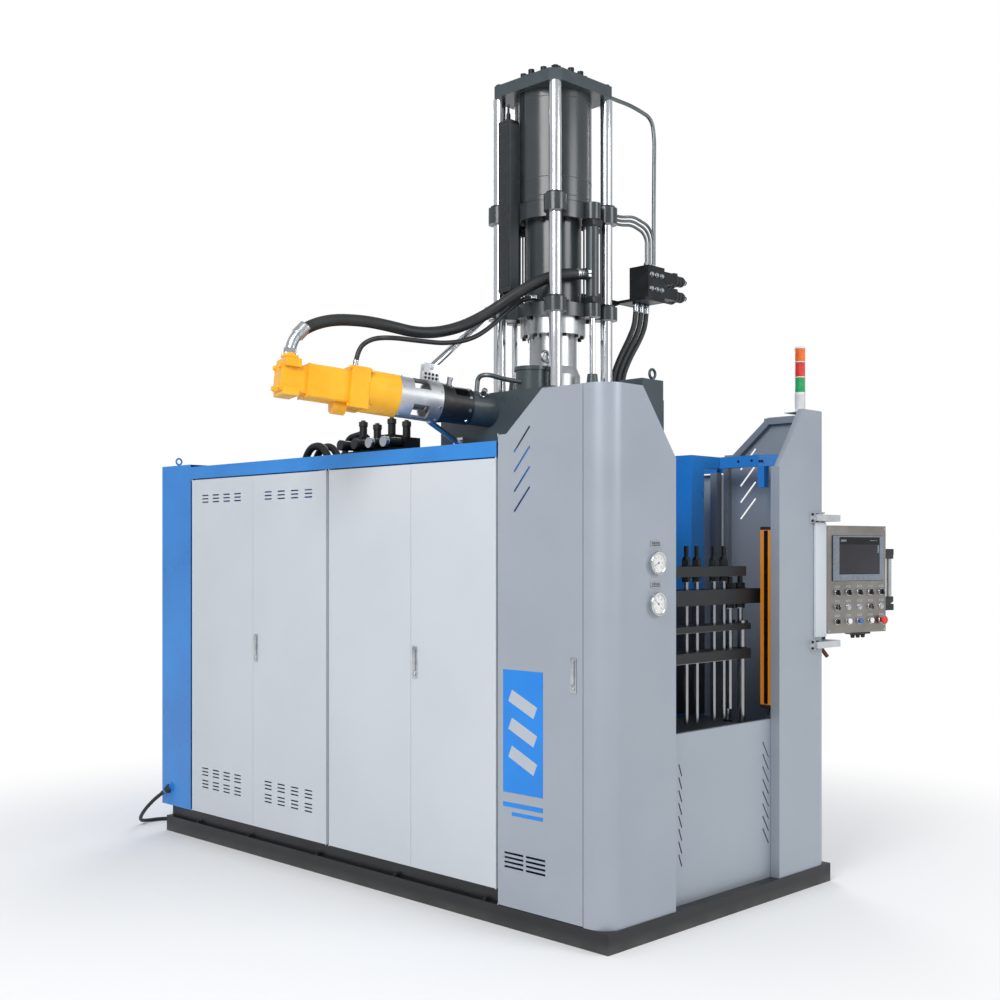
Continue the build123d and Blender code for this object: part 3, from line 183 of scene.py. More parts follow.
# Industrial plug: moulded red nylon shell with a screwed black gland at its back and a bayonet ring,
# its face recessed round five brass pins. It lies on the floor beside the coil.
def turned(profile, sides=32):
    """Round piece on the upright axis: a disc drawn through each radius and height of its profile."""
    radius, height = profile[0]
    bpy.ops.mesh.primitive_circle_add(vertices=sides, radius=radius, fill_type="NGON",
                                      location=(0, 0, height))
    piece = bpy.context.object
    bpy.ops.object.mode_set(mode="EDIT")
    bpy.ops.mesh.select_all(action="SELECT")
    for next_radius, next_height in profile[1:]:
        bpy.ops.mesh.extrude_region_move(TRANSFORM_OT_translate={"value": (0, 0, next_height - height)})
        bpy.ops.transform.resize(value=(next_radius / radius, next_radius / radius, 1))
        radius, height = next_radius, next_height
    bpy.ops.mesh.select_all(action="SELECT")
    bpy.ops.mesh.remove_doubles(threshold=0.000001)
    bpy.ops.mesh.normals_make_consistent(inside=False)
    bpy.ops.object.mode_set(mode="OBJECT")
    bpy.ops.object.transform_apply(location=True, rotation=True, scale=True)
    return piece


def moved(x, y, z):
    """Shift by x, y and z."""
    return Matrix.Translation((x, y, z))


def spun(angle, axis):
    """Turn about an axis through the origin."""
    return Matrix.Rotation(angle, 4, axis)


def placed(piece, matrix):
    """Move a piece's mesh, not its object."""
    piece.data.transform(matrix)
    return piece


def aim(piece, place, direction):
    """Move a piece made on the upright axis so that it stands at a place along a direction."""
    turn = Vector(direction).to_track_quat("Z", "Y").to_matrix().to_4x4()
    return placed(piece, Matrix.Translation(place) @ turn)


def rounded(piece, edge, rounds):
    """Round every edge of the active piece."""
    bpy.ops.object.modifier_add(type="BEVEL")
    piece.modifiers[-1].width = edge
    piece.modifiers[-1].segments = rounds
    bpy.ops.object.modifier_apply(modifier=piece.modifiers[-1].name)


def block(low, high, edge=0.0, rounds=2):
    """Squared piece between two corners, its edges broken or rounded."""
    middle = [(a + b) / 2 for a, b in zip(low, high)]
    bpy.ops.mesh.primitive_cube_add(size=1, location=middle)
    piece = bpy.context.object
    piece.scale = [abs(b - a) for a, b in zip(low, high)]
    bpy.ops.object.transform_apply(location=True, rotation=True, scale=True)
    if edge:
        rounded(piece, edge, rounds)
    return piece


def joined(pieces):
    """Several pieces made one."""
    bpy.ops.object.select_all(action="DESELECT")
    for piece in pieces:
        piece.select_set(True)
    bpy.context.view_layer.objects.active = pieces[0]
    if len(pieces) > 1:
        bpy.ops.object.join()
    return bpy.context.object


def copies(pattern, places):
    """A pattern's mesh at each place, as one piece; the pattern itself goes."""
    made = []
    for place in places:
        copy = bpy.data.objects.new(pattern.name, pattern.data.copy())
        bpy.context.collection.objects.link(copy)
        made.append(placed(copy, place))
    bpy.data.objects.remove(pattern)
    return joined(made)


def fit(pieces, name, body, material, smooth=35.0):
    """Join, name and smooth a finished piece, and give it its body and material."""
    piece = joined(pieces)
    piece.name = name
    piece.data.name = name
    bpy.ops.object.shade_smooth_by_angle(angle=radians(smooth))
    piece.data.materials.clear()
    piece.data.materials.append(material)
    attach(piece, body)
    bpy.ops.object.select_all(action="DESELECT")
    return piece


# Nylon, injection moulded: an even saturated red with a slight satin grain.
red_nylon = finish("nylon_moulded_red", "#C22A22", 0.0, 0.42, ["#B8241D", "#CC3128"], 0.02, (0.36, 0.5),
                   0.002, 0.0001, IOR=1.53)

plug_axis = (1, 0, 0)
plug_back = (-0.310, 1.768, 0.031)
plug_shell = turned([(0.016, 0.026), (0.021, 0.030), (0.024, 0.045), (0.026, 0.062), (0.030, 0.066),
                     (0.030, 0.082), (0.0275, 0.084), (0.0275, 0.108), (0.0245, 0.108), (0.0235, 0.088)])
plug_ribs = copies(block((0.0255, -0.0012, 0.066), (0.0308, 0.0012, 0.082), 0.0004),
                   [spun(radians(20 * i), "Z") for i in range(18)])
plug_body = fit([aim(plug_shell, plug_back, plug_axis), aim(plug_ribs, plug_back, plug_axis)],
                "mains_plug_shell", "machine_frame", red_nylon)
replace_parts(plug_body, "mains_plug")
plug_gland = turned([(0.0105, 0.0), (0.0128, 0.001), (0.0150, 0.014), (0.0192, 0.016), (0.0192, 0.029),
                     (0.0165, 0.031)], 12)
plug_gland = fit([aim(plug_gland, plug_back, plug_axis)], "mains_plug_gland", "machine_frame",
                 cable_rubber)

# Brass, turned: warm yellow metal with fine turning marks.
turned_brass = finish("brass_turned", "#C9A24A", 1.0, 0.28, ["#BF9840", "#D2AD58"], 0.01, (0.22, 0.34),
                      0.001, 0.00005)
pin = turned([(0.0030, 0.086), (0.0030, 0.103), (0.0022, 0.105)], 12)
pins = copies(pin, [Matrix.Translation((0.013 * cos(radians(72 * i)), 0.013 * sin(radians(72 * i)), 0))
                    for i in range(5)])
plug_pins = fit([aim(pins, plug_back, plug_axis)], "mains_plug_pins", "machine_frame", turned_brass)


# Cable gland: black moulded polyamide, a hexagon screwed into the shell, a dome nut and a tapered sleeve
# that keeps the cable from bending sharply where it comes out.
gland_direction = Vector((-0.50, 0.66, -0.56)).normalized()
gland_seat = Vector((-0.8145, 1.5648, 0.2432))
black_nylon = finish("polyamide_moulded_black", "#1E1F21", 0.0, 0.45, ["#1A1B1D", "#242628"], 0.02,
                     (0.4, 0.52), 0.0015, 0.0001, IOR=1.53)
gland_hexagon = turned([(0.023, 0.0), (0.0235, 0.002), (0.0235, 0.011), (0.021, 0.013)], 6)
gland_nut = turned([(0.0200, 0.012), (0.0215, 0.014), (0.0215, 0.026), (0.0185, 0.031), (0.0150, 0.034),
                    (0.0140, 0.036), (0.0122, 0.055), (0.0108, 0.062)], 24)
fit([aim(gland_hexagon, gland_seat, gland_direction), aim(gland_nut, gland_seat, gland_direction)],
    "cable_gland_nut", "machine_frame", black_nylon)


# Studio: a plain white floor that fades into the white ground behind, and soft lamps high on both sides.
# The floor keeps the machine's shadow near it, and what the camera or a mirror sees beyond is pure white.
bpy.ops.mesh.primitive_plane_add(size=60, location=(0, 0, 0))
floor = bpy.context.object
floor.name = "studio_floor"
floor_paper, shader = start_material("paper_backdrop_matt", "#F6F6F6", 0.0, 0.9)
floor_place = add(floor_paper, "TexCoord").outputs["Object"]
floor_reach = add(floor_paper, "VectorMath", {"operation": "LENGTH"}, {0: floor_place})
floor_far = add(floor_paper, "MapRange", {"interpolation_type": "SMOOTHSTEP"},
                {"Value": floor_reach.outputs["Value"], "From Min": 1.8, "From Max": 4.2})
ray = add(floor_paper, "LightPath")
seen = add(floor_paper, "Math", {"operation": "MAXIMUM"},
           {0: ray.outputs["Is Camera Ray"], 1: ray.outputs["Is Glossy Ray"]})
white_share = add(floor_paper, "Math", {"operation": "MULTIPLY"}, {0: floor_far, 1: seen})
white_light = add(floor_paper, "Emission", {}, {"Color": (1, 1, 1, 1), "Strength": 1.0})
add(floor_paper, "MixShader", {}, {0: white_share, 1: shader, 2: white_light}, "Shader",
    floor_paper.node_tree.nodes["Material Output"].inputs["Surface"])
floor.data.materials.append(floor_paper)

world = bpy.data.worlds.new("studio_white")
bpy.context.scene.world = world
world.use_nodes = True
ray = add(world, "LightPath")
seen = add(world, "Math", {"operation": "MAXIMUM"},
           {0: ray.outputs["Is Camera Ray"], 1: ray.outputs["Is Transmission Ray"]})
dim_ground = add(world, "Background", {}, {"Color": paint("#F3F6FA"), "Strength": 0.62})
white_ground = add(world, "Background", {}, {"Color": (1, 1, 1, 1), "Strength": 1.0})
add(world, "MixShader", {}, {0: seen, 1: dim_ground, 2: white_ground}, "Shader",
    world.node_tree.nodes["World Output"].inputs["Surface"])

for place, target, size, power in (((-5.5, -2.5, 5.2), (0, 0, 1.2), 3.0, 230.0),
                                   ((1.5, -6.5, 4.2), (0, 0, 1.4), 2.5, 110.0),
                                   ((4.5, 4.5, 4.5), (0, 0, 1.5), 3.0, 120.0)):
    bpy.ops.object.light_add(type="AREA", location=place)
    lamp = bpy.context.object
    lamp.data.size = size
    lamp.data.energy = power
    lamp.rotation_euler = (Vector(target) - Vector(place)).to_track_quat("-Z", "Y").to_euler()
bpy.context.scene.view_settings.view_transform = "Standard"
bpy.ops.object.select_all(action="DESELECT")


# Base frame: welded steel beams, brushed with black alkyd enamel that hangs thick, scuffed along the floor.
# The covers stand on it, held by a row of small clamp bolts along both sides.
def coat(material, *nodes):
    """Give CAD nodes their finish."""
    for node in nodes:
        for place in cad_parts[node].material_slots:
            place.material = material


black_enamel, shader = start_material("alkyd_enamel_black", "#17181A", 0.0, 0.36, IOR=1.5)
place, tone = grained(black_enamel, shader, ["#121314", "#1E2022"], 0.25, (0.3, 0.5), 0.012, 0.0006)
base_height_of = add(black_enamel, "SeparateXYZ", {}, {"Vector": place})
dust = add(black_enamel, "MapRange", {}, {"Value": base_height_of.outputs["Z"], "From Min": 0.0,
                                          "From Max": 0.05, "To Min": 0.55, "To Max": 0.0})
scuff = add(black_enamel, "TexNoise", {}, {"Vector": place, "Scale": 9.0, "Detail": 6.0})
dusty = add(black_enamel, "Math", {"operation": "MULTIPLY"}, {0: dust, 1: scuff})
grey_dust = add(black_enamel, "Mix", {"data_type": "RGBA"}, {"Factor": dusty, 6: tone, 7: paint("#6E6C68")})
black_enamel.node_tree.links.new(grey_dust.outputs[2], shader.inputs["Base Color"])
coat(black_enamel, "base_frame")

washer = turned([(0.026, 0.0), (0.028, 0.002), (0.028, 0.008), (0.012, 0.010), (0.012, 0.012)], 24)
nut = turned([(0.0165, 0.012), (0.017, 0.013), (0.017, 0.024), (0.015, 0.026)], 6)
clamp_bolt = joined([washer, nut])
side_stations = [-1.30, -0.92, -0.34, 0.24, 0.82, 1.30]
fit([copies(clamp_bolt, [moved(side * 0.798, y, 0.0842) @ spun(0.4 * n, "Z") @ Matrix.Scale(0.5, 4)
                         for side in (-1, 1) for n, y in enumerate(side_stations)])],
    "base_clamp_bolts", "machine_frame", black_enamel)


# Sheet cabinet: folded steel leaves, powder coated light grey, which dries to a fine orange peel.
# The leaves hang on hidden hinges at both ends of each pair; the far side has the same panels, screwed on.
light_powder = finish("powder_coat_light_grey", "#C9CED4", 0.0, 0.45, ["#C6CBD1", "#CDD2D7"], 0.7,
                      (0.4, 0.5), 0.0045, 0.0004, IOR=1.5)
coat(light_powder, "right_side_panels", *[f"cabinet_door_{number}" for number in range(1, 5)])

# Powder coat, mid grey with a little aluminium flake: a soft metallic sheen on the rounded corners.
mid_powder = finish("powder_coat_mid_grey_flake", "#A4ACB6", 0.35, 0.42, ["#A1A9B3", "#A9B1BA"], 0.5,
                    (0.36, 0.46), 0.004, 0.0005, IOR=1.5)
coat(mid_powder, "left_cover", "right_cover", "left_cover_door", "lower_front_panel")

# Gloss polyurethane enamel, sprayed: a strong blue with a shallow orange peel and sharp highlights.
blue_enamel = finish("polyurethane_enamel_blue", "#2B83D2", 0.0, 0.3, ["#277CCB", "#318BDB"], 0.4,
                     (0.26, 0.36), 0.006, 0.0004, IOR=1.5)
coat(blue_enamel, "rear_shell", "top_rails", "press_frame")

# Grey machine paint on square tube, satin.
frame_paint = finish("machine_paint_grey_satin", "#7C858F", 0.0, 0.45, ["#767F89", "#848D97"], 0.3,
                     (0.4, 0.52), 0.005, 0.0004, IOR=1.5)
coat(frame_paint, "inner_frames")


# Swing handles: a zinc casting, satin chromed, in a cup of the same metal, with its own lock barrel.
# One holds each pair of doors and one the cover's door.
satin_chrome = finish("zinc_casting_satin_chromed", "#BFC3C7", 1.0, 0.3, ["#B6BABF", "#C9CDD0"], 0.03,
                      (0.24, 0.36), 0.002, 0.00008)
door_face = -0.812


def swing_handle(y, z, name, body):
    """Cup, lever and barrel on the door side, lowest point of the cup at z."""
    face = door_face
    cup = block((face - 0.0042, y - 0.0155, z - 0.003), (face - 0.0008, y + 0.0155, z + 0.137), 0.0016, 3)
    fit([cup], name + "_cup", body, satin_chrome)
    lever = block((face - 0.0118, y - 0.0085, z + 0.030), (face - 0.0035, y + 0.0085, z + 0.131), 0.0035, 4)
    barrel = aim(turned([(0.0088, 0.0), (0.0092, 0.001), (0.0092, 0.005), (0.0080, 0.0062), (0.0048, 0.0062),
                         (0.0046, 0.0052)], 24), (face - 0.004, y, z + 0.014), (-1, 0, 0))
    key_slot = block((face - 0.0100, y - 0.0007, z + 0.0105), (face - 0.0088, y + 0.0007, z + 0.0175))
    fit([lever, barrel, key_slot], name + "_lever", body, satin_chrome)


swing_handle(0.739, 0.995, "rear_pair_handle", "door_2")
swing_handle(-0.488, 0.995, "front_pair_handle", "door_4")
swing_handle(-1.430, 0.998, "cover_handle", "cover_door")


# Badge field: a blue vinyl film stuck on the cover's door where the model's badge was; here it only has
# plain sloping bars of pale film, and two blue bars below.
blue_film = finish("vinyl_film_blue", "#0F80DC", 0.0, 0.32, ["#0C7AD4", "#1488E4"], 0.3, (0.28, 0.38),
                   0.006, 0.0002, IOR=1.5)
badge_y = (-1.266, -1.040)
badge_z = (0.560, 1.067)
badge = [block((door_face - 0.0008, badge_y[0], badge_z[0]), (door_face + 0.0002, badge_y[1], badge_z[1]),
               0.0003, 1)]
for number, (low, high) in enumerate(((0.500, 0.520), (0.466, 0.482))):
    badge.append(block((door_face - 0.0006, badge_y[0], low),
                       (door_face + 0.0002, badge_y[1] - 0.05 * number, high), 0.0003, 1))
fit(badge, "badge_field", "cover_door", blue_film)
pale_film = finish("vinyl_film_pale_grey", "#B4BCC5", 0.1, 0.4, ["#AFB7C1", "#B9C1C9"], 0.3, (0.36, 0.44),
                   0.006, 0.0002, IOR=1.5)
pale_bars = []
for number in range(3):
    bar = block((door_face - 0.0014, -0.078, -0.026), (door_face - 0.0006, 0.078, 0.026), 0.0003, 1)
    pale_bars.append(placed(bar, moved(0, -1.153, 0.700 + 0.115 * number) @ spun(0.42, "X")))
fit(pale_bars, "badge_bars", "cover_door", pale_film)


# Pressure gauges: stainless case with a rolled bezel, a white enamelled dial with printed scale and
# numbers, a black pointer and a flat glass. Label plates with plain lines sit over them.
white_dial = finish("enamel_dial_white", "#F0F0EC", 0.0, 0.4, ["#ECECE7", "#F3F3F0"], 0.02, (0.36, 0.44),
                    0.002, 0.00002, IOR=1.5)
dial_ink = finish("printing_ink_black", "#15161A", 0.0, 0.5, ["#121317", "#1B1C20"], 0.01, (0.45, 0.55),
                  0.002, 0.00002, IOR=1.5)
bright_steel = finish("stainless_steel_polished", "#D3D5D7", 1.0, 0.16, ["#CBCDD0", "#DADCDD"], 0.04,
                      (0.12, 0.22), 0.002, 0.00004)
coat(bright_steel, "pressure_gauges")
gauge_glass, shader = start_material("float_glass_clear", "#FFFFFF", 0.0, 0.02, IOR=1.5, Alpha=0.12)
smear_place = add(gauge_glass, "TexCoord").outputs["Object"]
smear = add(gauge_glass, "TexNoise", {}, {"Vector": smear_place, "Scale": 40.0})
add(gauge_glass, "MapRange", {}, {"Value": smear, "To Min": 0.01, "To Max": 0.08},
    "Result", shader.inputs["Roughness"])


def printed(text, place):
    """Small lettering as a thin mesh, centred on its place."""
    bpy.ops.object.text_add()
    word = bpy.context.object
    word.data.body = text
    word.data.size = 0.0072
    word.data.extrude = 0.0002
    word.data.align_x = "CENTER"
    word.data.align_y = "CENTER"
    word.data.resolution_u = 3
    bpy.ops.object.convert(target="MESH")
    word = bpy.context.object
    bpy.ops.object.mode_set(mode="EDIT")
    bpy.ops.mesh.select_all(action="SELECT")
    bpy.ops.mesh.remove_doubles(threshold=0.000001)
    bpy.ops.object.mode_set(mode="OBJECT")
    return placed(word, Matrix.Translation(place))


facing_front = spun(pi / 2, "X")
cover_front = -1.600
gauge_x = -0.510
gauge_face = cover_front - 0.018
first_mark = 225
figure_radius = 0.0235
for number, level in enumerate((1.508, 1.344)):
    gauge = f"gauge_{number + 1}"
    centre = Vector((gauge_x, gauge_face, level))
    forward = (0, -1, 0)
    rim = turned([(0.0475, -0.006), (0.0485, -0.004), (0.0485, 0.001), (0.0470, 0.0035), (0.0430, 0.0040),
                  (0.0400, 0.0025), (0.0392, -0.003)], 48)
    fit([aim(rim, centre, forward)], gauge + "_bezel", "machine_frame", bright_steel)
    dial = turned([(0.0388, -0.0031), (0.0388, -0.0022)], 48)
    fit([aim(dial, centre, forward)], gauge + "_dial", "machine_frame", white_dial)
    marks = []
    for tick in range(31):
        swing = radians(first_mark - 9 * tick)
        inner, half = (0.0325, 0.00035) if tick % 5 else (0.0290, 0.0007)
        marks.append(placed(block((inner, -half, -0.0022), (0.0365, half, -0.0019)), spun(swing, "Z")))
    for figure in range(7):
        swing = radians(first_mark - 45 * figure)
        at_figure = (figure_radius * cos(swing), figure_radius * sin(swing), -0.002)
        marks.append(printed(str(5 * figure), at_figure))
    pointer = placed(block((-0.008, -0.0011, -0.0019), (0.030, 0.0011, -0.0013), 0.0002, 1),
                     spun(radians(205 - 60 * number), "Z"))
    hub = turned([(0.0045, -0.0021), (0.0045, -0.0005), (0.0030, 0.0002)], 20)
    scale = placed(joined(marks + [pointer, hub]), Matrix.Translation(centre) @ facing_front)
    fit([scale], gauge + "_scale", "machine_frame", dial_ink, 20.0)
    glass = turned([(0.0394, 0.0006), (0.0394, 0.0018)], 48)
    fit([aim(glass, centre, forward)], gauge + "_glass", "machine_frame", gauge_glass)
    label = block((gauge_x - 0.033, cover_front - 0.0026, level + 0.065),
                  (gauge_x + 0.033, cover_front - 0.0019, level + 0.089), 0.0003, 1)
    fit([label], gauge + "_label", "machine_frame", satin_chrome)
    strokes = [block((gauge_x - 0.026, cover_front - 0.0030, level + z),
                     (gauge_x + 0.026, cover_front - 0.0026, level + z + 0.003))
               for z in (0.0695, 0.0755, 0.0815)]
    fit(strokes, gauge + "_label_lines", "machine_frame", dial_ink)


# Column castings and cylinders: steel, sprayed with a dark green-grey machine enamel, half gloss over
# a lightly filled surface.
green_enamel = finish("machine_enamel_green_grey", "#434E52", 0.0, 0.3, ["#3D474B", "#485358"], 0.35,
                      (0.24, 0.38), 0.008, 0.0005, IOR=1.5)
coat(green_enamel, "unit_block", "lift_cylinders", "clamp_cylinder", "power_pack")

# Honed cylinder tube and guide housing: the same enamel, near black and glossier over a turned surface.
column_enamel = finish("machine_enamel_near_black_gloss", "#363D40", 0.0, 0.22, ["#32383B", "#3B4245"],
                       0.3, (0.18, 0.28), 0.007, 0.0003, IOR=1.52)
coat(column_enamel, "injection_cylinder", "guide_housing")

# Steel, blackened hot in oil: near black with a low metallic sheen and cloudy, drier places.
black_steel = finish("steel_oil_blackened", "#222527", 0.45, 0.42, ["#1C1F21", "#2A2E30"], 0.08,
                     (0.34, 0.52), 0.004, 0.0003)
coat(black_steel, "valve_stand", "valve_manifold")

# Transducer case: extruded aluminium, powder coated dark grey, matt.
case_powder = finish("powder_coat_dark_grey", "#3C4145", 0.0, 0.46, ["#383D41", "#42474B"], 0.15,
                     (0.42, 0.52), 0.003, 0.0003, IOR=1.5)
coat(case_powder, "transducer_box")

# Cast iron, black enamelled: the sand's texture shows through as a coarse uneven skin.
black_casting = finish("cast_iron_black_enamel", "#1E2123", 0.0, 0.38, ["#191B1D", "#25282A"], 0.05,
                       (0.3, 0.46), 0.006, 0.0012, IOR=1.5)
coat(black_casting, "feed_housing")

# Gloss enamel in signal yellow over a fine casting, a shade warmer where it lies thick.
yellow_enamel = finish("gloss_enamel_signal_yellow", "#FAB41E", 0.0, 0.28, ["#F5AB16", "#FCBB28"], 0.12,
                       (0.22, 0.36), 0.006, 0.0007, IOR=1.5)
coat(yellow_enamel, "gearbox", "drive_motor")

# Hard chromed steel rod, ground and polished: a clean mirror with faint smears of oil.
hard_chrome = finish("steel_hard_chromed_ground", "#DADCDF", 1.0, 0.1, ["#D2D5D8", "#E2E4E6"], 0.15,
                     (0.07, 0.16), 0.003, 0.00003)
coat(hard_chrome, "tie_rods", "support_struts", "lift_rods", "injection_plunger")


# Steel, turned and milled: a brighter grey than the castings, with level tool marks that catch the light.
turned_steel = finish("steel_turned_bright", "#B4B7BA", 1.0, 0.3, ["#A9ACAF", "#BFC2C4"], 0.2,
                      (0.24, 0.36), 0.003, 0.0003, (0.02, 0.02, 1.0))
coat(turned_steel, "injection_barrel", "upper_platen", "extruder_screw")

# Aluminium, machined and bead blasted: pale, matt, a little cloudy.
cast_aluminium = finish("aluminium_bead_blasted", "#D3D6D8", 0.85, 0.38, ["#CBCED1", "#DADCDE"], 0.05,
                        (0.33, 0.44), 0.003, 0.0004)
coat(cast_aluminium, "coupling_lantern", "panel_brackets")

# Hydraulic tube, cold drawn and phosphated: dark satin grey with a soft shine along it.
phosphated_tube = finish("steel_tube_phosphated", "#6F7476", 0.8, 0.34, ["#64696B", "#7A7F81"], 0.06,
                         (0.28, 0.42), 0.003, 0.0002)
coat(phosphated_tube, "steel_pipes")

# Zinc plated fittings: bright with a faint blue passivation.
zinc_plate = finish("steel_zinc_plated_clear", "#C6CBD0", 1.0, 0.24, ["#BCC3CA", "#CFD2D4"], 0.02,
                    (0.18, 0.32), 0.002, 0.0001)


# Finishes that change along the height of one piece: dark plates and nuts on bright rods.
def banded(name, low, high, bands):
    """Bands from the bottom up, each a starting height, a colour, how metallic and how rough it is."""
    material, shader = start_material(name, bands[0][1], bands[0][2], bands[0][3])
    place = add(material, "TexCoord").outputs["Object"]
    height = add(material, "SeparateXYZ", {}, {"Vector": place})
    level = add(material, "MapRange", {}, {"Value": height.outputs["Z"], "From Min": low, "From Max": high})
    colour = add(material, "ValToRGB", {}, {"Fac": level})
    sheen = add(material, "ValToRGB", {}, {"Fac": level})
    starts = [max(0.0, (band[0] - low) / (high - low)) for band in bands]
    set_ramp(colour.color_ramp, [(at, paint(band[1])) for at, band in zip(starts, bands)], "CONSTANT")
    set_ramp(sheen.color_ramp, [(at, (band[2], band[3], 0, 1)) for at, band in zip(starts, bands)],
             "CONSTANT")
    cloud = add(material, "TexNoise", {}, {"Vector": place, "Scale": 14.0, "Detail": 4.0})
    tone = add(material, "MapRange", {}, {"Value": cloud, "To Min": 0.82, "To Max": 1.18})
    add(material, "VectorMath", {"operation": "SCALE"}, {0: colour, "Scale": tone}, "Vector",
        shader.inputs["Base Color"])
    parts = add(material, "SeparateColor", {}, {"Color": sheen}, "Red", shader.inputs["Metallic"])
    add(material, "Math", {"operation": "MULTIPLY"}, {0: parts.outputs["Green"], 1: tone}, "Value",
        shader.inputs["Roughness"])
    grain = add(material, "TexNoise", {}, {"Vector": place, "Scale": 300.0})
    add(material, "Bump", {}, {"Height": grain, "Distance": 0.0002, "Strength": 0.4}, "Normal",
        shader.inputs["Normal"])
    return material


# The rods' chrome is painted darker than the column's hard chrome: painted shade for the dim inside of the
# demoulding station and the table under it.
rod = ("#A2A5A8", 1.0, 0.2)
dark = ("#2A2E30", 0.4, 0.45)
enamel = ("#3E484C", 0.0, 0.36)
nylon = ("#1E1F21", 0.0, 0.45)
coat(banded("steel_chromed_below_blackened_above", 0.7, 1.6, [(0.7, *rod), (1.4195, *dark)]),
     "ejector_upper")
coat(banded("steel_chromed_rods_blackened_plate", 0.7, 1.6, [(0.7, *rod), (1.2945, *dark)]),
     "ejector_lower")
coat(banded("steel_guide_rods_and_blackened_plates", 0.7, 1.3,
            [(0.7, "#4A5054", 0.5, 0.4), (0.7765, *rod), (1.0688, *dark), (1.1142, *rod),
             (1.2008, *dark), (1.2292, *rod)]), "ejector_guides")
coat(banded("machine_enamel_with_blackened_screws", 3.7, 3.9,
            [(3.7, "#3E484C", 0.0, 0.34), (3.8205, "#1B1D1F", 0.5, 0.36)]), "top_plate")
coat(banded("steel_table_glass_board_and_platen", 0.1, 1.0,
            [(0.1, *rod), (0.7795, *enamel), (0.8402, "#A88F5E", 0.0, 0.7),
             (0.8602, "#9A9DA0", 1.0, 0.34)]), "lower_platen")
coat(banded("aluminium_tube_black_nylon_ends", 1.2, 1.6,
            [(1.2, *nylon), (1.2922, "#B9BCC0", 0.9, 0.36), (1.5378, *nylon)]), "panel_grip")


# Socket screws and hexagon bolts: steel, blackened or zinc plated, as bought.
def socket_screw(radius, height):
    """Round head with its key hole, standing on z = 0."""
    return turned([(radius, 0.0), (radius, height * 0.88), (radius * 0.93, height), (radius * 0.55, height),
                   (radius * 0.5, height * 0.5)], 20)


def hexagon_bolt(radius, height):
    """Hexagon head on its washer, standing on z = 0."""
    washer = turned([(radius * 1.12, 0.0), (radius * 1.15, height * 0.08),
                     (radius * 1.12, height * 0.18)], 24)
    head = turned([(radius, height * 0.18), (radius, height * 0.85), (radius * 0.86, height)], 6)
    return joined([washer, head])


press_axis = (0.0, -0.574)
tie_offset = 0.1825
corners = [(a, b) for a in (-1, 1) for b in (-1, 1)]
tie_places = [(a * tie_offset, press_axis[1] + b * tie_offset) for a, b in corners]


def round_the_column(radius, level, count, first=0.0, flip=False):
    """Places on a circle round the press axis."""
    over = spun(pi, "X") if flip else Matrix.Identity(4)
    angles = [first + 2 * pi * i / count for i in range(count)]
    return [moved(press_axis[0] + radius * cos(a), press_axis[1] + radius * sin(a), level) @ over
            for a in angles]


flange_top = 2.7328
fit([copies(socket_screw(0.0095, 0.012), round_the_column(0.161, flange_top, 8, pi / 8)
            + round_the_column(0.157, 3.1352, 8, pi / 8, True)
            + round_the_column(0.141, 2.5902, 12, 0.1, True)
            + round_the_column(0.168, 2.6702, 8, 0.0, True))],
    "column_socket_screws", "injection_unit", black_steel)
collar = turned([(0.041, 0.0), (0.043, 0.002), (0.043, 0.010), (0.040, 0.012)], 32)
fit([copies(collar, [moved(x, y, z) for x, y in tie_places for z in (flange_top, 3.2128, 2.2898)])],
    "tie_rod_wipers", "injection_unit", black_casting)
fit([copies(hexagon_bolt(0.019, 0.018), [moved(x, y, 3.7948) for x, y in tie_places])],
    "tie_rod_end_bolts", "injection_unit", black_steel)
seams = []
tube_radius = 0.1868
for level in (3.322, 3.700, 3.235):
    bpy.ops.mesh.primitive_torus_add(location=(0, press_axis[1], level), major_radius=tube_radius,
                                     minor_radius=0.0016, major_segments=72, minor_segments=8)
    bpy.ops.object.transform_apply(location=True, rotation=True, scale=True)
    seams.append(bpy.context.object)
fit(seams, "cylinder_seams", "injection_unit", green_enamel)


# Lift cylinders: small tie rod cylinders on opposite sides of the column. Each has square cast heads at
# both ends, held by four long studs.
heads = []
for side in (-1, 1):
    x, y = side * 0.060, press_axis[1] - side * 0.200
    for low, high in ((2.7335, 2.766), (3.1005, 3.1345)):
        head = block((x - 0.035, y - 0.035, low), (x + 0.035, y + 0.035, high), 0.003)
        heads.append(head)
    stud = turned([(0.0042, 2.766), (0.0042, 3.1005)], 12)
    heads.append(copies(stud, [moved(x + a * 0.0285, y + b * 0.0285, 0) for a, b in corners]))
fit(heads, "lift_cylinder_heads", "injection_unit", black_casting)


# Position transducer: a long dark box down the column's side, with a lid, end caps and a plug at its top.
# A narrow blackened rail runs up the column beside it.
lid = block((-0.2445, -0.5155, 2.812), (-0.2405, -0.4475, 3.585), 0.0015)
ends = [block((-0.243, -0.5235, low), (-0.1835, -0.4395, high), 0.003)
        for low, high in ((2.790, 2.808), (3.589, 3.606))]
plug = turned([(0.013, 3.605), (0.013, 3.618), (0.0105, 3.622), (0.0105, 3.640), (0.006, 3.652),
               (0.005, 3.690)], 20)
fit([lid] + ends + [placed(plug, moved(-0.213, -0.4815, 0))], "transducer_cover", "injection_unit",
    black_nylon)
rail = block((-0.1905, -0.560, 3.216), (-0.1745, -0.535, 3.735), 0.002)
fit([rail], "scale_rail", "injection_unit", black_steel)


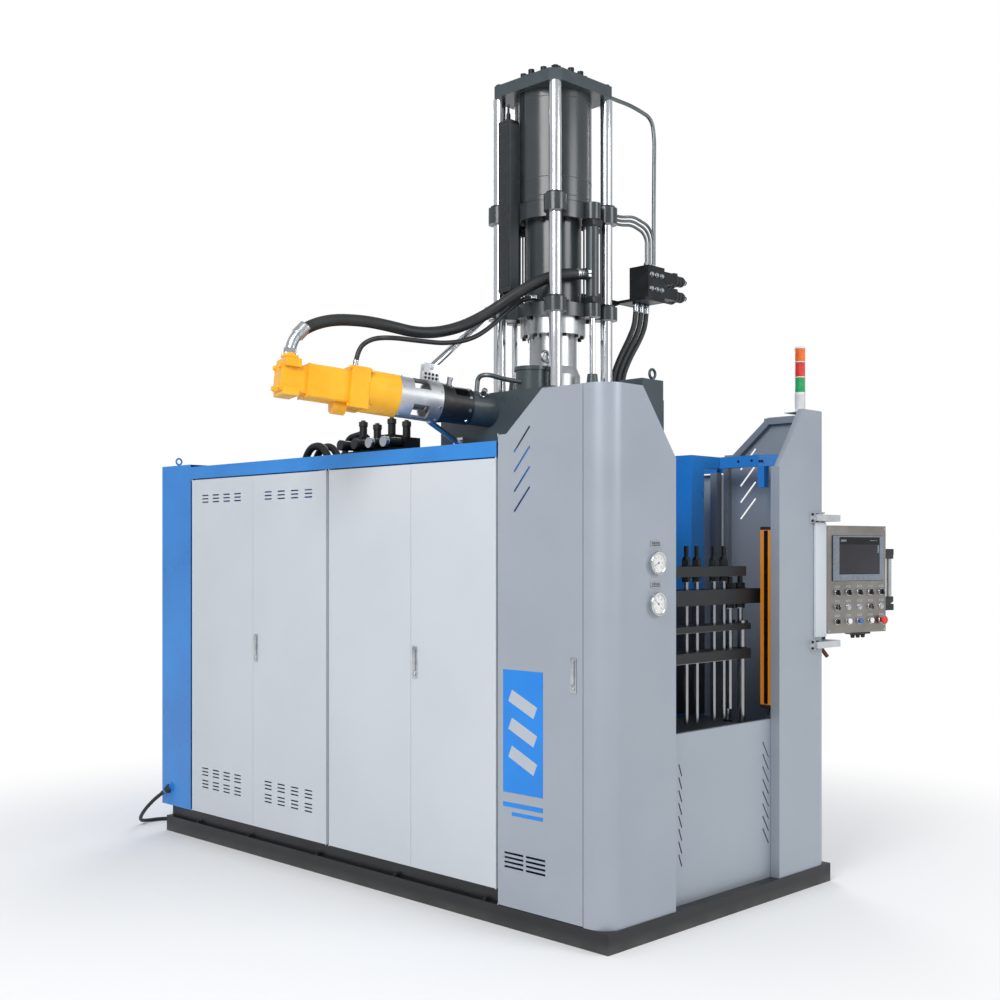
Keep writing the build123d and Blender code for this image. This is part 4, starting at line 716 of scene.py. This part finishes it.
# Hydraulic hoses: nitrile rubber on braided wire, with a cloth-wrapped cover; both ends are crimped into
# zinc plated sleeves. The largest starts in a bent steel tube on the motor's port and has a rubber guard.
yaw = radians(20.0)
pitch = radians(5.5)
along = Vector((-cos(yaw) * cos(pitch), sin(yaw) * cos(pitch), sin(pitch)))
outward = Vector((-sin(yaw), -cos(yaw), 0.0))
upward = along.cross(outward)
extruder_start = Vector((-0.400, -0.525, 2.212))
extruder_frame = Matrix((outward, upward, along)).transposed().to_4x4()
extruder_frame.translation = extruder_start


def on_extruder(station, up=0.0, out=0.0):
    """Point at a station of the extruder, above its axis and out from it."""
    return tuple(extruder_start + along * station + upward * up + outward * out)


wrapped_rubber = finish("nitrile_rubber_cloth_wrapped", "#1E2021", 0.0, 0.5, ["#191B1C", "#27292B"], 0.08,
                        (0.4, 0.56), 0.003, 0.0006, IOR=1.52)
big_route = [on_extruder(0.955, 0.112), on_extruder(0.955, 0.165), on_extruder(0.900, 0.235),
             on_extruder(0.790, 0.290), on_extruder(0.650, 0.310), (-0.880, -0.360, 2.570),
             (-0.700, -0.400, 2.545), (-0.530, -0.450, 2.580), (-0.390, -0.520, 2.660),
             (-0.290, -0.610, 2.760), (-0.180, -0.690, 2.835), (-0.080, -0.752, 2.865),
             (0.035, -0.774, 2.872)]
small_route = [on_extruder(0.655, 0.091), on_extruder(0.655, 0.175), on_extruder(0.600, 0.235),
               (-0.900, -0.420, 2.505), (-0.760, -0.460, 2.500), (-0.620, -0.490, 2.500),
               (-0.480, -0.510, 2.535), (-0.380, -0.530, 2.600), (-0.290, -0.560, 2.690),
               (-0.205, -0.580, 2.755), (-0.135, -0.590, 2.764)]
hose_routes = [("motor_hose", big_route, 0.022, 1.607), ("gearbox_hose", small_route, 0.011, 1.106)]
for number, length in enumerate((0.547, 0.549, 0.551)):
    top_x = 0.450 + 0.042 * number
    foot_x = 0.290 + 0.038 * number
    hose_routes.append((f"valve_hose_{number + 1}",
                        [(top_x, -0.724, 2.801), (top_x, -0.724, 2.710), (top_x - 0.040, -0.716, 2.620),
                         (foot_x + 0.050, -0.706, 2.510), (foot_x, -0.700, 2.400), (foot_x, -0.700, 2.290)],
                        0.013, length))


def crimp_sleeve(radius, length):
    """Pressed sleeve: a smooth tube with five crimped rings."""
    profile = [(radius * 1.0, 0.0), (radius * 1.14, 0.001)]
    for ring in range(5):
        z = length * (0.12 + 0.16 * ring)
        profile += [(radius * 1.16, z), (radius * 1.10, z + length * 0.03),
                    (radius * 1.10, z + length * 0.09),
                    (radius * 1.16, z + length * 0.12)]
    return turned(profile + [(radius * 1.14, length), (radius * 1.02, length + 0.001)], 28)


def as_mesh(line):
    """The line's own tube as a mesh, selected and active."""
    bpy.ops.object.select_all(action="DESELECT")
    line.select_set(True)
    bpy.context.view_layer.objects.active = line
    bpy.ops.object.convert(target="MESH")
    return bpy.context.object


guard_radius = 0.0265
for name, route, radius, length in hose_routes:
    hose = flexible_line(name, route, radius)
    hose.data.materials.append(wrapped_rubber)
    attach(hose, "injection_unit")
    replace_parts(hose, "hydraulic_hoses")
    fittings = []
    for first, second in ((route[0], route[1]), (route[-1], route[-2])):
        start = Vector(first)
        direction = (Vector(second) - start).normalized()
        foot = turned([(radius * 1.30, 0.0), (radius * 1.36, 0.001), (radius * 1.36, radius * 0.9),
                       (radius * 1.2, radius)], 6)
        fittings.append(aim(foot, start, direction))
        if name == "motor_hose" and first == route[0]:
            continue
        fittings.append(aim(crimp_sleeve(radius, radius * 2.6), start + direction * radius * 0.9,
                            direction))
    if name == "motor_hose":
        here = (Vector(route[1]) + Vector(route[2])) / 2
        direction = (Vector(route[2]) - Vector(route[1])).normalized()
        fittings.append(aim(crimp_sleeve(guard_radius, 0.060), here - direction * 0.008, direction))
        fittings.append(as_mesh(flexible_line("motor_hose_bend", route[:2] + [tuple(here)], radius * 1.12)))
        guard = as_mesh(flexible_line("motor_hose_guard", route, guard_radius))
        bpy.ops.object.mode_set(mode="EDIT")
        bpy.ops.mesh.select_all(action="SELECT")
        bpy.ops.mesh.bisect(plane_co=here, plane_no=direction, use_fill=True, clear_inner=True)
        bpy.ops.object.mode_set(mode="OBJECT")
        guard = fit([guard], "motor_hose_guard", "injection_unit", wrapped_rubber)
    ends = fit(fittings, name + "_fittings", "injection_unit", zinc_plate)


# Solenoid valves on the column's manifold: each has a black coil with a moulded plug on top and a bright
# knurled nut at its tip; the block is closed with plated plugs.
valve_bits = []
valve_tips = []
for y in (-0.788, -0.732):
    for z in (2.855, 2.935):
        for ring in range(3):
            band = turned([(0.0262, 0.0), (0.0272, 0.002), (0.0272, 0.010), (0.0262, 0.012)], 28)
            valve_bits.append(aim(band, (0.672 + 0.026 * ring, y, z), (1, 0, 0)))
        valve_bits.append(block((0.664, y - 0.014, z + 0.020), (0.694, y + 0.014, z + 0.037), 0.003))
        tip = turned([(0.0145, 0.0), (0.0160, 0.001), (0.0160, 0.016), (0.0145, 0.018), (0.0105, 0.019),
                      (0.0095, 0.029)], 18)
        valve_tips.append(aim(tip, (0.7415, y, z), (1, 0, 0)))
fit(valve_bits, "solenoid_coils", "injection_unit", black_nylon)
plugs = copies(hexagon_bolt(0.011, 0.010), [moved(x, -0.820, z) @ facing_front
                                            for x in (0.455, 0.495, 0.535) for z in (2.860, 2.930)])
pipe_nuts = copies(turned([(0.0125, 0.0), (0.0135, 0.001), (0.0135, 0.014), (0.0090, 0.022)], 6),
                   [moved(x, -0.778, 2.975) for x in (0.465, 0.493, 0.521)]
                   + [moved(0.548, -0.760, 2.975)])
fit(valve_tips + [plugs, pipe_nuts], "valve_fittings", "injection_unit", zinc_plate)


# Extruder details: hexagon bolts through the gearbox flange and the motor's end cover, a split flange on
# the motor's port, plated grub screws round the lantern, and the clevis that the chromed stay is pinned to.
screws = []
for a, b in corners:
    screws += [moved(a * 0.0795, b * 0.0795, 0.6085) @ spun(pi, "X"), moved(a * 0.0825, b * 0.0825, 0.6955)]
yellow_bolts = copies(hexagon_bolt(0.0085, 0.010), screws)
cover_bolts = copies(hexagon_bolt(0.0105, 0.012), [moved(a * 0.045, b * 0.045, 1.000) for a, b in corners])
split_flange = block((-0.034, 0.090, 0.923), (0.034, 0.104, 0.987), 0.005, 3)
cover_rib = block((-0.074, -0.074, 0.878), (0.074, 0.074, 0.884), 0.001)
ribs = [block((a - 0.004, -0.0745, 0.715), (a + 0.004, 0.0745, 0.865), 0.0015) for a in (-0.030, 0.030)]
yellow_set = joined([yellow_bolts, cover_bolts, split_flange, cover_rib] + ribs)
fit([placed(yellow_set, extruder_frame)], "extruder_bolts", "injection_unit", yellow_enamel)
flange_screws = copies(socket_screw(0.0062, 0.008),
                       [moved(a * 0.026, 0.104, 0.955 + b * 0.024) @ spun(-pi / 2, "X") for a, b in corners])
rim_screws = copies(socket_screw(0.0055, 0.004),
                    [spun(radians(22.5 + 45 * i), "Z") @ moved(0.0940, 0, t) @ spun(pi / 2, "Y")
                     for i in range(8) for t in (0.268, 0.447)])
pivot_pin = placed(turned([(0.009, -0.032), (0.0095, -0.031), (0.0095, 0.031), (0.009, 0.032)], 20),
                   moved(0, 0.150, 0.300) @ spun(pi / 2, "Y"))
cheeks = [block((low, 0.088, 0.262), (low + 0.008, 0.168, 0.338), 0.004) for low in (-0.026, 0.018)]
cheek_holes = copies(turned([(0.0065, 0.0), (0.0065, 0.0006)], 16),
                     [moved(0.0262, 0.100 + 0.018 * row, 0.275 + 0.018 * i) @ spun(pi / 2, "Y")
                      for row in range(2) for i in range(4)])
plated = placed(joined([flange_screws, rim_screws, pivot_pin]), extruder_frame)
fit([plated], "extruder_plated_screws", "injection_unit", zinc_plate)
fit([placed(joined(cheeks), extruder_frame)], "stay_clevis", "injection_unit", cast_aluminium)
fit([placed(cheek_holes, extruder_frame)], "stay_clevis_holes", "injection_unit", black_steel)
stay_foot = Vector(on_extruder(0.300, 0.1485))
stay_reach = Vector((-0.2505, -0.3915, 2.700)) - stay_foot
stay_end = stay_reach.length
stay_rod = turned([(0.0160, 0.0), (0.0165, 0.001), (0.0165, stay_end), (0.0160, stay_end + 0.001)], 32)
fit([aim(stay_rod, stay_foot, stay_reach)], "stay_rod", "injection_unit", hard_chrome)
feed_set = [aim(hexagon_bolt(0.0085, 0.010), on_extruder(0.118, 0.078 * cos(a), 0.078 * sin(a)),
                upward * cos(a) + outward * sin(a)) for a in (0.5, 1.2, 1.9, 2.6)]
for station, angle in ((0.060, 0.9), (0.212, 0.3)):
    radial = upward * cos(angle) + outward * sin(angle)
    base = Vector(on_extruder(station)) + radial * 0.076
    feed_set.append(aim(turned([(0.015, 0.0), (0.016, 0.002), (0.016, 0.014), (0.012, 0.016), (0.012, 0.034),
                                (0.0135, 0.035), (0.0135, 0.047), (0.008, 0.049)], 6), base, radial))
fit(feed_set, "feed_fittings", "injection_unit", zinc_plate)


# Clamp valves above the side rail: black knurled caps on each valve, and coil ends that are plated on the
# first two and black on the others.
caps = []
plated_ends = []
for number in range(4):
    y = 0.135 + 0.115 * number
    lift = 0.022 * (number % 2)
    knurled = turned([(0.0215, 0.0), (0.0235, 0.002), (0.0235, 0.024), (0.0215, 0.026), (0.012, 0.027),
                      (0.011, 0.034)], 20)
    caps.append(aim(knurled, (-0.320, y, 2.186 + lift), (0, 0, 1)))
    coil_end = turned([(0.0262, 0.0), (0.0275, 0.002), (0.0275, 0.022), (0.0262, 0.024)], 28)
    (plated_ends if number < 2 else caps).append(aim(coil_end, (-0.452, y, 2.103), (-1, 0, 0)))
fit(caps, "clamp_valve_caps", "machine_frame", black_nylon)
fit(plated_ends, "clamp_valve_coil_ends", "machine_frame", zinc_plate)


# Painted shade on the front columns: a dark grey sheet, 2 mm, round the lower halves of the two front
# columns, standing in for the shade that falls there. Each is folded once, so that it covers the column's
# front and its inner face.
shade_sheets = []
for side in (-1, 1):
    shade_sheets.append(block((side * 0.398, -1.1075, 0.776), (side * 0.502, -1.1055, 1.360), 0.0006))
    shade_sheets.append(block((side * 0.396, -1.1075, 0.776), (side * 0.398, -1.020, 1.360), 0.0006))
fit(shade_sheets, "column_shade_sheets", "machine_frame", case_powder)


# Trim on the right cover: a pale strip fixed between the panel brackets, painted light that stands in for
# the lamp-lit left side of the panel box, and the fold of the cover's own sheet along the edge of its slope.
painted_light_strip = block((0.675, -1.612, 1.155), (0.770, -1.6005, 1.690), 0.0015)
fit([painted_light_strip], "panel_side_painted_light_strip", "machine_frame", light_powder)
slope = Vector((0.590 - 0.388, 0.0, 2.212 - 1.936))
lean = slope.angle(Vector((1, 0, 0)))
fold = block((0.0, -0.015, -0.001), (slope.length, 0.015, 0.001), 0.0006)
fit([placed(fold, moved(0.388, -1.585, 1.9365) @ spun(-lean, "Y"))], "slope_fold", "machine_frame",
    mid_powder)


# Demoulding station: the rods' upper ends are threaded, and each nut bears on a hardened washer. The guide
# rods stand in turned collars, and socket screws hold their upper plate.
thread = turned([(0.0098, 0.0), (0.0098, 0.0002)] + [(radius, 0.0003 + 0.0013 * turn + step)
                for turn in range(34) for radius, step in ((0.0094, 0.0), (0.0106, 0.0006))], 14)
station_y = -1.400
rod_places = [pair + side for pair in (-0.204, 0, 0.204) for side in (-0.038, 0.038)]
threads = copies(thread, [moved(x, station_y, 1.533) for x in rod_places])
washer = turned([(0.0225, 0.0), (0.0230, 0.0005), (0.0230, 0.0035), (0.0222, 0.0040)], 28)
upper_washers = copies(washer, [moved(x, station_y, z) for x in rod_places for z in (1.4888, 1.4402)])
lock_nuts = copies(hexagon_bolt(0.0175, 0.014), [moved(x, station_y, 1.5168) for x in rod_places])
fit([threads, upper_washers, lock_nuts], "upper_ejector_threads", "upper_ejector", black_steel)
lower_places = [(side * x, top) for side in (-1, 1) for x, top in ((0.290, 1.436), (0.371, 1.460))]
wide_washer = turned([(0.0265, 0.0), (0.0270, 0.0005), (0.0270, 0.0040), (0.0262, 0.0045)], 28)
lower_washers = copies(wide_washer, [moved(x, station_y, z) for x, top in lower_places
                                     for z in (1.3858, 1.3147)])
caps = [aim(turned([(0.0122, 0.0), (0.0126, 0.0004), (0.0122, 0.0030), (0.0095, 0.0036)], 20),
            (x, station_y, top - 0.0005), (0, 0, 1)) for x, top in lower_places]
fit([lower_washers] + caps, "lower_ejector_washers", "lower_ejector", black_steel)
guide_screws = copies(socket_screw(0.0105, 0.012),
                      [moved(a * 0.365, station_y + b * 0.035, 1.2288) for a, b in corners])
guide_collars = copies(turned([(0.0195, 0.0), (0.0205, 0.001), (0.0205, 0.007), (0.0190, 0.008)], 28),
                       [moved(a * 0.330, station_y + b * 0.040, z) for a, b in corners
                        for z in (0.7758, 1.1138)])
fit([guide_screws, guide_collars], "guide_screws", "machine_frame", black_steel)


# Light curtains: an orange enamelled aluminium profile on each side of the mouth, with a dark window along
# the face that looks across, black end caps, a plug below and a small white type plate above.
orange_enamel = finish("enamelled_profile_orange", "#E58A1B", 0.0, 0.34, ["#DF8316", "#EA9222"], 0.3,
                       (0.28, 0.42), 0.004, 0.0002, IOR=1.5)
coat(orange_enamel, "light_curtains")
window_glass = finish("acrylic_window_near_black", "#0C0C0F", 0.0, 0.12, ["#0A0A0D", "#121217"], 0.2,
                      (0.08, 0.18), 0.003, 0.00003, IOR=1.49)
windows = []
end_caps = []
for side, inner in ((-1, -0.379), (1, 0.392)):
    face = inner + side * 0.0035
    near_x, far_x = sorted((inner, inner + side * 0.048))
    windows.append(block((face - 0.0018, -1.5358, 0.8622), (face + 0.0018, -1.5142, 1.6498)))
    windows.append(block((near_x + 0.012, -1.5526, 0.872), (far_x - 0.012, -1.5516, 1.632), 0.0004, 1))
    low_x, high_x = sorted((inner - side * 0.0012, inner + side * 0.0492))
    for low, high in ((0.8445, 0.860), (1.652, 1.6675)):
        end_caps.append(block((low_x, -1.5532, low), (high_x, -1.4948, high), 0.003, 3))
    plug = turned([(0.0085, 0.0), (0.0090, 0.001), (0.0090, 0.016), (0.0065, 0.020), (0.0040, 0.036)], 18)
    end_caps.append(aim(plug, (inner + side * 0.024, -1.522, 0.8450), (0, 0, -1)))
fit(windows, "light_curtain_windows", "machine_frame", window_glass)
fit(end_caps, "light_curtain_ends", "machine_frame", black_nylon)
type_plates = [block((low, -1.5538, 1.606), (high, -1.5524, 1.632), 0.0003, 1)
               for low, high in ((-0.421, -0.386), (0.399, 0.434))]
fit(type_plates, "light_curtain_plates", "machine_frame", white_dial)


# Signal tower: a white moulded tube on a foot, then three ribbed acrylic lenses, green, red and orange,
# stacked with thin rings between them and closed by a cap.
at_tower = moved(0.700, -1.512, 0)
white_abs = finish("abs_moulded_light_grey", "#D9DBDC", 0.0, 0.38, ["#D4D6D8", "#DFE0E1"], 0.03,
                   (0.32, 0.46), 0.0015, 0.0001, IOR=1.53)
tower_base = turned([(0.0340, 2.2082), (0.0345, 2.2092), (0.0345, 2.2130), (0.0250, 2.2150),
                     (0.0248, 2.2300), (0.0248, 2.2900), (0.0254, 2.2915), (0.0254, 2.3025),
                     (0.0246, 2.3040)], 40)
cap = turned([(0.0250, 2.5095), (0.0254, 2.5105), (0.0250, 2.5165), (0.0215, 2.5186)], 40)
seams = [turned([(0.0246, level - 0.0024), (0.0253, level - 0.0018), (0.0253, level + 0.0018),
                 (0.0246, level + 0.0024)], 40) for level in (2.375, 2.447)]
tower_body = fit([placed(piece, at_tower) for piece in [tower_base, cap] + seams], "signal_tower_body",
                 "machine_frame", white_abs)
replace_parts(tower_body, "stack_light")
for name, colours, low, high in (("green", ["#1C9A54", "#27AC64"], 2.304, 2.373),
                                 ("red", ["#CC3028", "#DF4036"], 2.377, 2.445),
                                 ("orange", ["#E3671A", "#F07C2A"], 2.449, 2.510)):
    acrylic = finish(f"acrylic_ribbed_{name}", colours[0], 0.0, 0.14, colours, 0.03, (0.1, 0.2), 0.002,
                     0.00005, IOR=1.49, Coat_Weight=0.3)
    rings = [(0.0236, low)]
    rib_pitch = (high - low) / 16
    for ring in range(16):
        z = low + rib_pitch * (ring + 0.25)
        rings += [(0.0246, z), (0.0236, z + rib_pitch * 0.5)]
    lens = placed(turned(rings + [(0.0236, high)], 44), at_tower)
    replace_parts(fit([lens], f"signal_lens_{name}", "machine_frame", acrylic, 20.0),
                "stack_light")


# Operator panel: a folded stainless box, brushed level, with a pale extrusion down its hinge side, whose
# light tone is partly its own and partly painted light for that side where the lamp falls on it, and a black
# cable entry with three gland nuts under its floor.
stainless = finish("stainless_sheet_brushed_level", "#97938E", 1.0, 0.36, ["#8F8B86", "#9F9B96"], 0.12,
                   (0.3, 0.44), 0.0012, 0.00025, (0.03, 0.03, 1.0))
coat(stainless, "panel_box")
panel_turn = radians(-11.13)
panel_frame = moved(0.870, -1.554, 0.0) @ spun(panel_turn, "Z")


def on_panel(piece):
    """Move a piece made in the panel's own axes to the panel."""
    return placed(piece, panel_frame)


def at_control(x, z, depth=0.0):
    """Place on the panel's face for a piece made standing on z = 0."""
    return panel_frame @ moved(x, -depth, z) @ facing_front


# Pale extrusion on the box's left side: its light tone is partly its own and partly painted light for that
# lamp-lit side.
pale_alloy_painted_lit = finish("aluminium_profile_pale_painted_light", "#C9CFD1", 0.0, 0.42, ["#C4CACC", "#CED3D5"], 0.2,
                    (0.38, 0.48), 0.003, 0.0002, IOR=1.5)
profile_strip = [block((-0.0118, 0.0035, 1.171), (-0.0098, 0.0765, 1.669), 0.0009)]
profile_strip += [block((-0.0128, low, 1.171), (-0.0110, low + 0.0025, 1.669), 0.0006)
                  for low in (0.0040, 0.0270, 0.0505, 0.0735)]
fit([on_panel(joined(profile_strip))], "panel_side_profile", "operator_panel", pale_alloy_painted_lit)
corner_screws = copies(socket_screw(0.0048, 0.0030),
                       [at_control(x, z, -0.0002) for x in (0.013, 0.411) for z in (1.172, 1.668)])
fit([corner_screws], "panel_corner_screws", "operator_panel", bright_steel)
underside = [on_panel(block((0.199, 0.014, 1.1492), (0.331, 0.066, 1.1604), 0.0045, 3))]
for x in (0.228, 0.265, 0.302):
    nut = turned([(0.0125, 0.0), (0.0130, 0.001), (0.0130, 0.007), (0.0105, 0.008), (0.0105, 0.016),
                  (0.0070, 0.019)], 6)
    underside.append(placed(nut, panel_frame @ moved(x, 0.040, 1.1496) @ spun(pi, "X")))
fit(underside, "panel_cable_entry", "operator_panel", black_nylon)


# Terminal: a grey moulded bezel round one dark glass, with flat keys below and beside it. The display is
# switched off, and plain bars stand where its maker's lettering was.
bezel_grey = finish("pc_abs_moulded_blue_grey", "#79828C", 0.0, 0.36, ["#747D87", "#7F8892"], 0.06,
                    (0.3, 0.44), 0.0015, 0.0001, IOR=1.53)
coat(bezel_grey, "hmi_terminal")
screen_glass = on_panel(block((0.0815, -0.0052, 1.4439), (0.3728, -0.0038, 1.6245), 0.0003, 1))
fit([screen_glass], "terminal_glass", "operator_panel", window_glass)
display = finish("display_film_dark_violet", "#26252C", 0.0, 0.3, ["#222128", "#2B2A32"], 0.25,
                 (0.24, 0.36), 0.001, 0.00001, IOR=1.5)
fit([on_panel(block((0.0840, -0.0056, 1.4470), (0.3702, -0.0050, 1.5890)))], "terminal_display",
    "operator_panel", display)
marks = [block((0.357, -0.0057, 1.5480), (0.3685, -0.0053, 1.5860)),
         block((0.300, -0.0057, 1.6070), (0.355, -0.0053, 1.6095)),
         block((0.092, -0.0057, 1.6030), (0.131, -0.0053, 1.6125))]
fit([on_panel(joined(marks))], "terminal_marks", "operator_panel", bezel_grey)
keys = [block((0.0475, -0.0072, z), (0.0705, -0.0058, z + 0.013), 0.0012)
        for z in (1.460, 1.485, 1.510, 1.535, 1.560, 1.585)]
keys += [block((x, -0.0072, 1.4215), (x + 0.028, -0.0058, 1.4345), 0.0012)
         for x in (0.090, 0.130, 0.170, 0.210, 0.250, 0.290, 0.330)]
keys += [block((0.3845, -0.0066, 1.4150), (0.3975, -0.0058, 1.6295), 0.0006, 1)]
fit([on_panel(joined(keys))], "terminal_keys", "operator_panel", bezel_grey)
gasket = [block((0.0355, -0.0012, 1.4115), (0.4012, 0.0005, 1.6329), 0.0005, 1)]
fit([on_panel(joined(gasket))], "terminal_gasket", "operator_panel", cable_rubber)


# Controls, 22 mm: chrome plated bezels in three rows, with moulded knobs, keys, caps and one mushroom head.
# The upper row's knobs, three buttons and the stop move on bodies of their own; the others are fixed.
chrome_plate = finish("brass_chrome_plated", "#DDDFE1", 1.0, 0.09, ["#D6D8DA", "#E6E7E8"], 0.01,
                      (0.06, 0.14), 0.001, 0.00002)
columns = [0.0707 + 0.0796 * i for i in range(5)]
rows = [1.357, 1.287, 1.217]
all_controls = [(x, z) for z in rows for x in columns]
bezel = turned([(0.0174, 0.0), (0.0176, 0.0010), (0.0172, 0.0032), (0.0156, 0.0052), (0.0142, 0.0053),
                (0.0139, 0.0040)], 40)
fit([copies(bezel, [at_control(x, z, -0.0003) for x, z in all_controls])], "control_bezels",
    "operator_panel", chrome_plate)
legend = block((-0.0165, -0.0009, 0.0240), (0.0165, 0.0004, 0.0330), 0.0003, 1)
legend_bars = block((-0.0120, -0.0012, 0.0275), (0.0120, -0.0008, 0.0295))
label_places = [panel_frame @ moved(x, 0, z) for x, z in all_controls]
fit([copies(legend, label_places)], "control_labels", "operator_panel", satin_chrome)
fit([copies(legend_bars, label_places)], "control_label_bars", "operator_panel", dial_ink)


def selector_knob(place, name, body, node=None):
    """Round skirt with a finger bar and a white pointer line."""
    skirt = turned([(0.0126, 0.0042), (0.0131, 0.0052), (0.0131, 0.0095), (0.0118, 0.0112)], 32)
    finger = block((-0.0044, -0.0128, 0.0095), (0.0044, 0.0128, 0.0222), 0.0022, 3)
    knob = fit([placed(skirt, place), placed(finger, place)], name, body, black_nylon)
    line = block((-0.0007, 0.0020, 0.0219), (0.0007, 0.0118, 0.0226), 0.0002, 1)
    fit([placed(line, place)], name + "_pointer", body, white_dial)
    if node:
        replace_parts(knob, node)


for number, x in enumerate(columns):
    selector_knob(at_control(x, rows[0]), f"selector_knob_{number + 1}_cap", f"selector_knob_{number + 1}",
                  f"selector_{number + 1}")
for number, column in ((1, 0), (2, 3)):
    selector_knob(at_control(columns[column], rows[1]), f"spare_selector_{number}", "operator_panel")
key_barrel = turned([(0.0112, 0.0040), (0.0118, 0.0050), (0.0118, 0.0090), (0.0104, 0.0098)], 28)
key_bow = block((-0.0012, -0.0100, 0.0095), (0.0012, 0.0100, 0.0215), 0.0009, 2)
at_key = at_control(columns[0], rows[2])
fit([placed(key_barrel, at_key), placed(key_bow, at_key)], "key_switch", "operator_panel", black_nylon)
blank = turned([(0.0136, 0.0040), (0.0138, 0.0048), (0.0132, 0.0084), (0.0110, 0.0092)], 32)
fit([copies(blank, [at_control(columns[i], rows[1]) for i in (1, 2, 4)])], "pilot_lamp_caps",
    "operator_panel", satin_chrome)
for number, (column, name, colours) in enumerate(((1, "white", ["#E4E6E6", "#EEEFEF"]),
                                                  (2, "blue", ["#2A5FAE", "#3470C2"]),
                                                  (3, "white_second", ["#E4E6E6", "#EEEFEF"]))):
    cap_plastic = finish(f"polycarbonate_moulded_{name}", colours[0], 0.0, 0.26, colours, 0.01,
                         (0.2, 0.32), 0.001, 0.00004, IOR=1.58)
    cap = turned([(0.0128, 0.0088), (0.0131, 0.0096), (0.0131, 0.0150), (0.0120, 0.0163), (0.0100, 0.0158),
                  (0.0050, 0.0153)], 36)
    button = fit([placed(cap, at_control(columns[column], rows[2]))], f"push_button_cap_{number + 1}",
                 f"button_{number + 1}", cap_plastic)
    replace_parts(button, f"push_button_{number + 1}")
red_cap = finish("polyamide_moulded_signal_red", "#D02B2A", 0.0, 0.3, ["#C82524", "#DA3733"], 0.015,
                 (0.24, 0.36), 0.001, 0.00005, IOR=1.53)
mushroom = turned([(0.0128, 0.0102), (0.0128, 0.0180), (0.0150, 0.0192), (0.0192, 0.0200), (0.0203, 0.0220),
                   (0.0200, 0.0262), (0.0170, 0.0292), (0.0110, 0.0306), (0.0040, 0.0310)], 44)
at_stop = at_control(columns[4], rows[2])
stop_head = fit([placed(mushroom, at_stop)], "emergency_stop_head", "stop_button", red_cap,
                50.0)
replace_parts(stop_head, "emergency_stop")
arrows = []
for number in range(3):
    arrow = block((0.0105, -0.0009, 0.0298), (0.0155, 0.0009, 0.0306), 0.0002, 1)
    arrows.append(placed(arrow, at_stop @ spun(radians(120 * number), "Z") @ spun(0.35, "Y")
                         @ moved(0, 0, 0.0042)))
fit(arrows, "emergency_stop_arrows", "stop_button", white_dial)


# Grab handle: an aluminium tube between two black wedge-shaped ends, moulded in nylon and screwed to the
# box's free side.
wedges = []
for far, near, outer in ((1.5775, 1.518, 1.550), (1.2725, 1.330, 1.302)):
    low, high = sorted((far, near))
    wedge = block((0.4242, 0.0235, low), (0.5135, 0.0565, high))
    for corner in wedge.data.vertices:
        if corner.co.x > 0.5 and abs(corner.co.z - far) < 0.001:
            corner.co.z = outer
    bpy.context.view_layer.objects.active = wedge
    rounded(wedge, 0.004, 3)
    wedges.append(on_panel(wedge))
fit(wedges, "grab_handle_ends", "operator_panel", black_nylon)


# Panel brackets: cap screws hold them to the cover, and black pads seat them on the pivot. Below, a
# corrugated conduit takes the panel's wires; only its end at the panel is there.
bracket_screws = copies(socket_screw(0.0062, 0.0065),
                        [moved(x, -1.6079, z) @ facing_front for x in (0.651, 0.689)
                         for z in (1.1050, 1.1350, 1.6970, 1.7270)])
fit([bracket_screws], "bracket_screws", "machine_frame", black_steel)
panel_pivot = (0.848, -1.535)
pads = [aim(turned([(0.0205, 0.0), (0.0210, 0.0010), (0.0210, 0.0120), (0.0200, 0.0130)], 32),
            (*panel_pivot, z), (0, 0, 1)) for z in (1.1362, 1.6828)]
fit(pads, "pivot_pads", "operator_panel", black_nylon)
conduit_brown = finish("polyamide_conduit_red_brown", "#6A3A22", 0.0, 0.45, ["#5E331E", "#764329"], 0.02,
                       (0.4, 0.52), 0.0015, 0.0001, IOR=1.53)
ribs = [(0.0085, 0.0)]
for ring in range(9):
    ribs += [(0.0098, 0.003 + 0.006 * ring), (0.0098, 0.006 + 0.006 * ring),
             (0.0082, 0.0072 + 0.006 * ring)]
conduit = turned(ribs, 24)
fit([aim(conduit, (*panel_pivot, 1.0925), (0.62, -0.25, -0.74))], "panel_conduit_stub", "operator_panel",
    conduit_brown)


# Blue beams over the mouth: blackened socket screws where the hanging brackets and the beams' plates are
# bolted on.
beam_screws = []
for side in (-1, 1):
    for y in (-1.347, -1.361):
        beam_screws.append(moved(side * 0.6119, y, 1.985) @ spun(-side * pi / 2, "Y"))
    for y in (-1.10, -1.22, -1.30):
        slant = 0.6325 + (y + 1.105) * 0.018 / 0.237
        beam_screws.append(moved(side * (slant - 0.002), y, 1.990) @ spun(-side * pi / 2, "Y"))
fit([copies(socket_screw(0.0055, 0.0045), beam_screws)], "beam_screws", "machine_frame", black_steel)
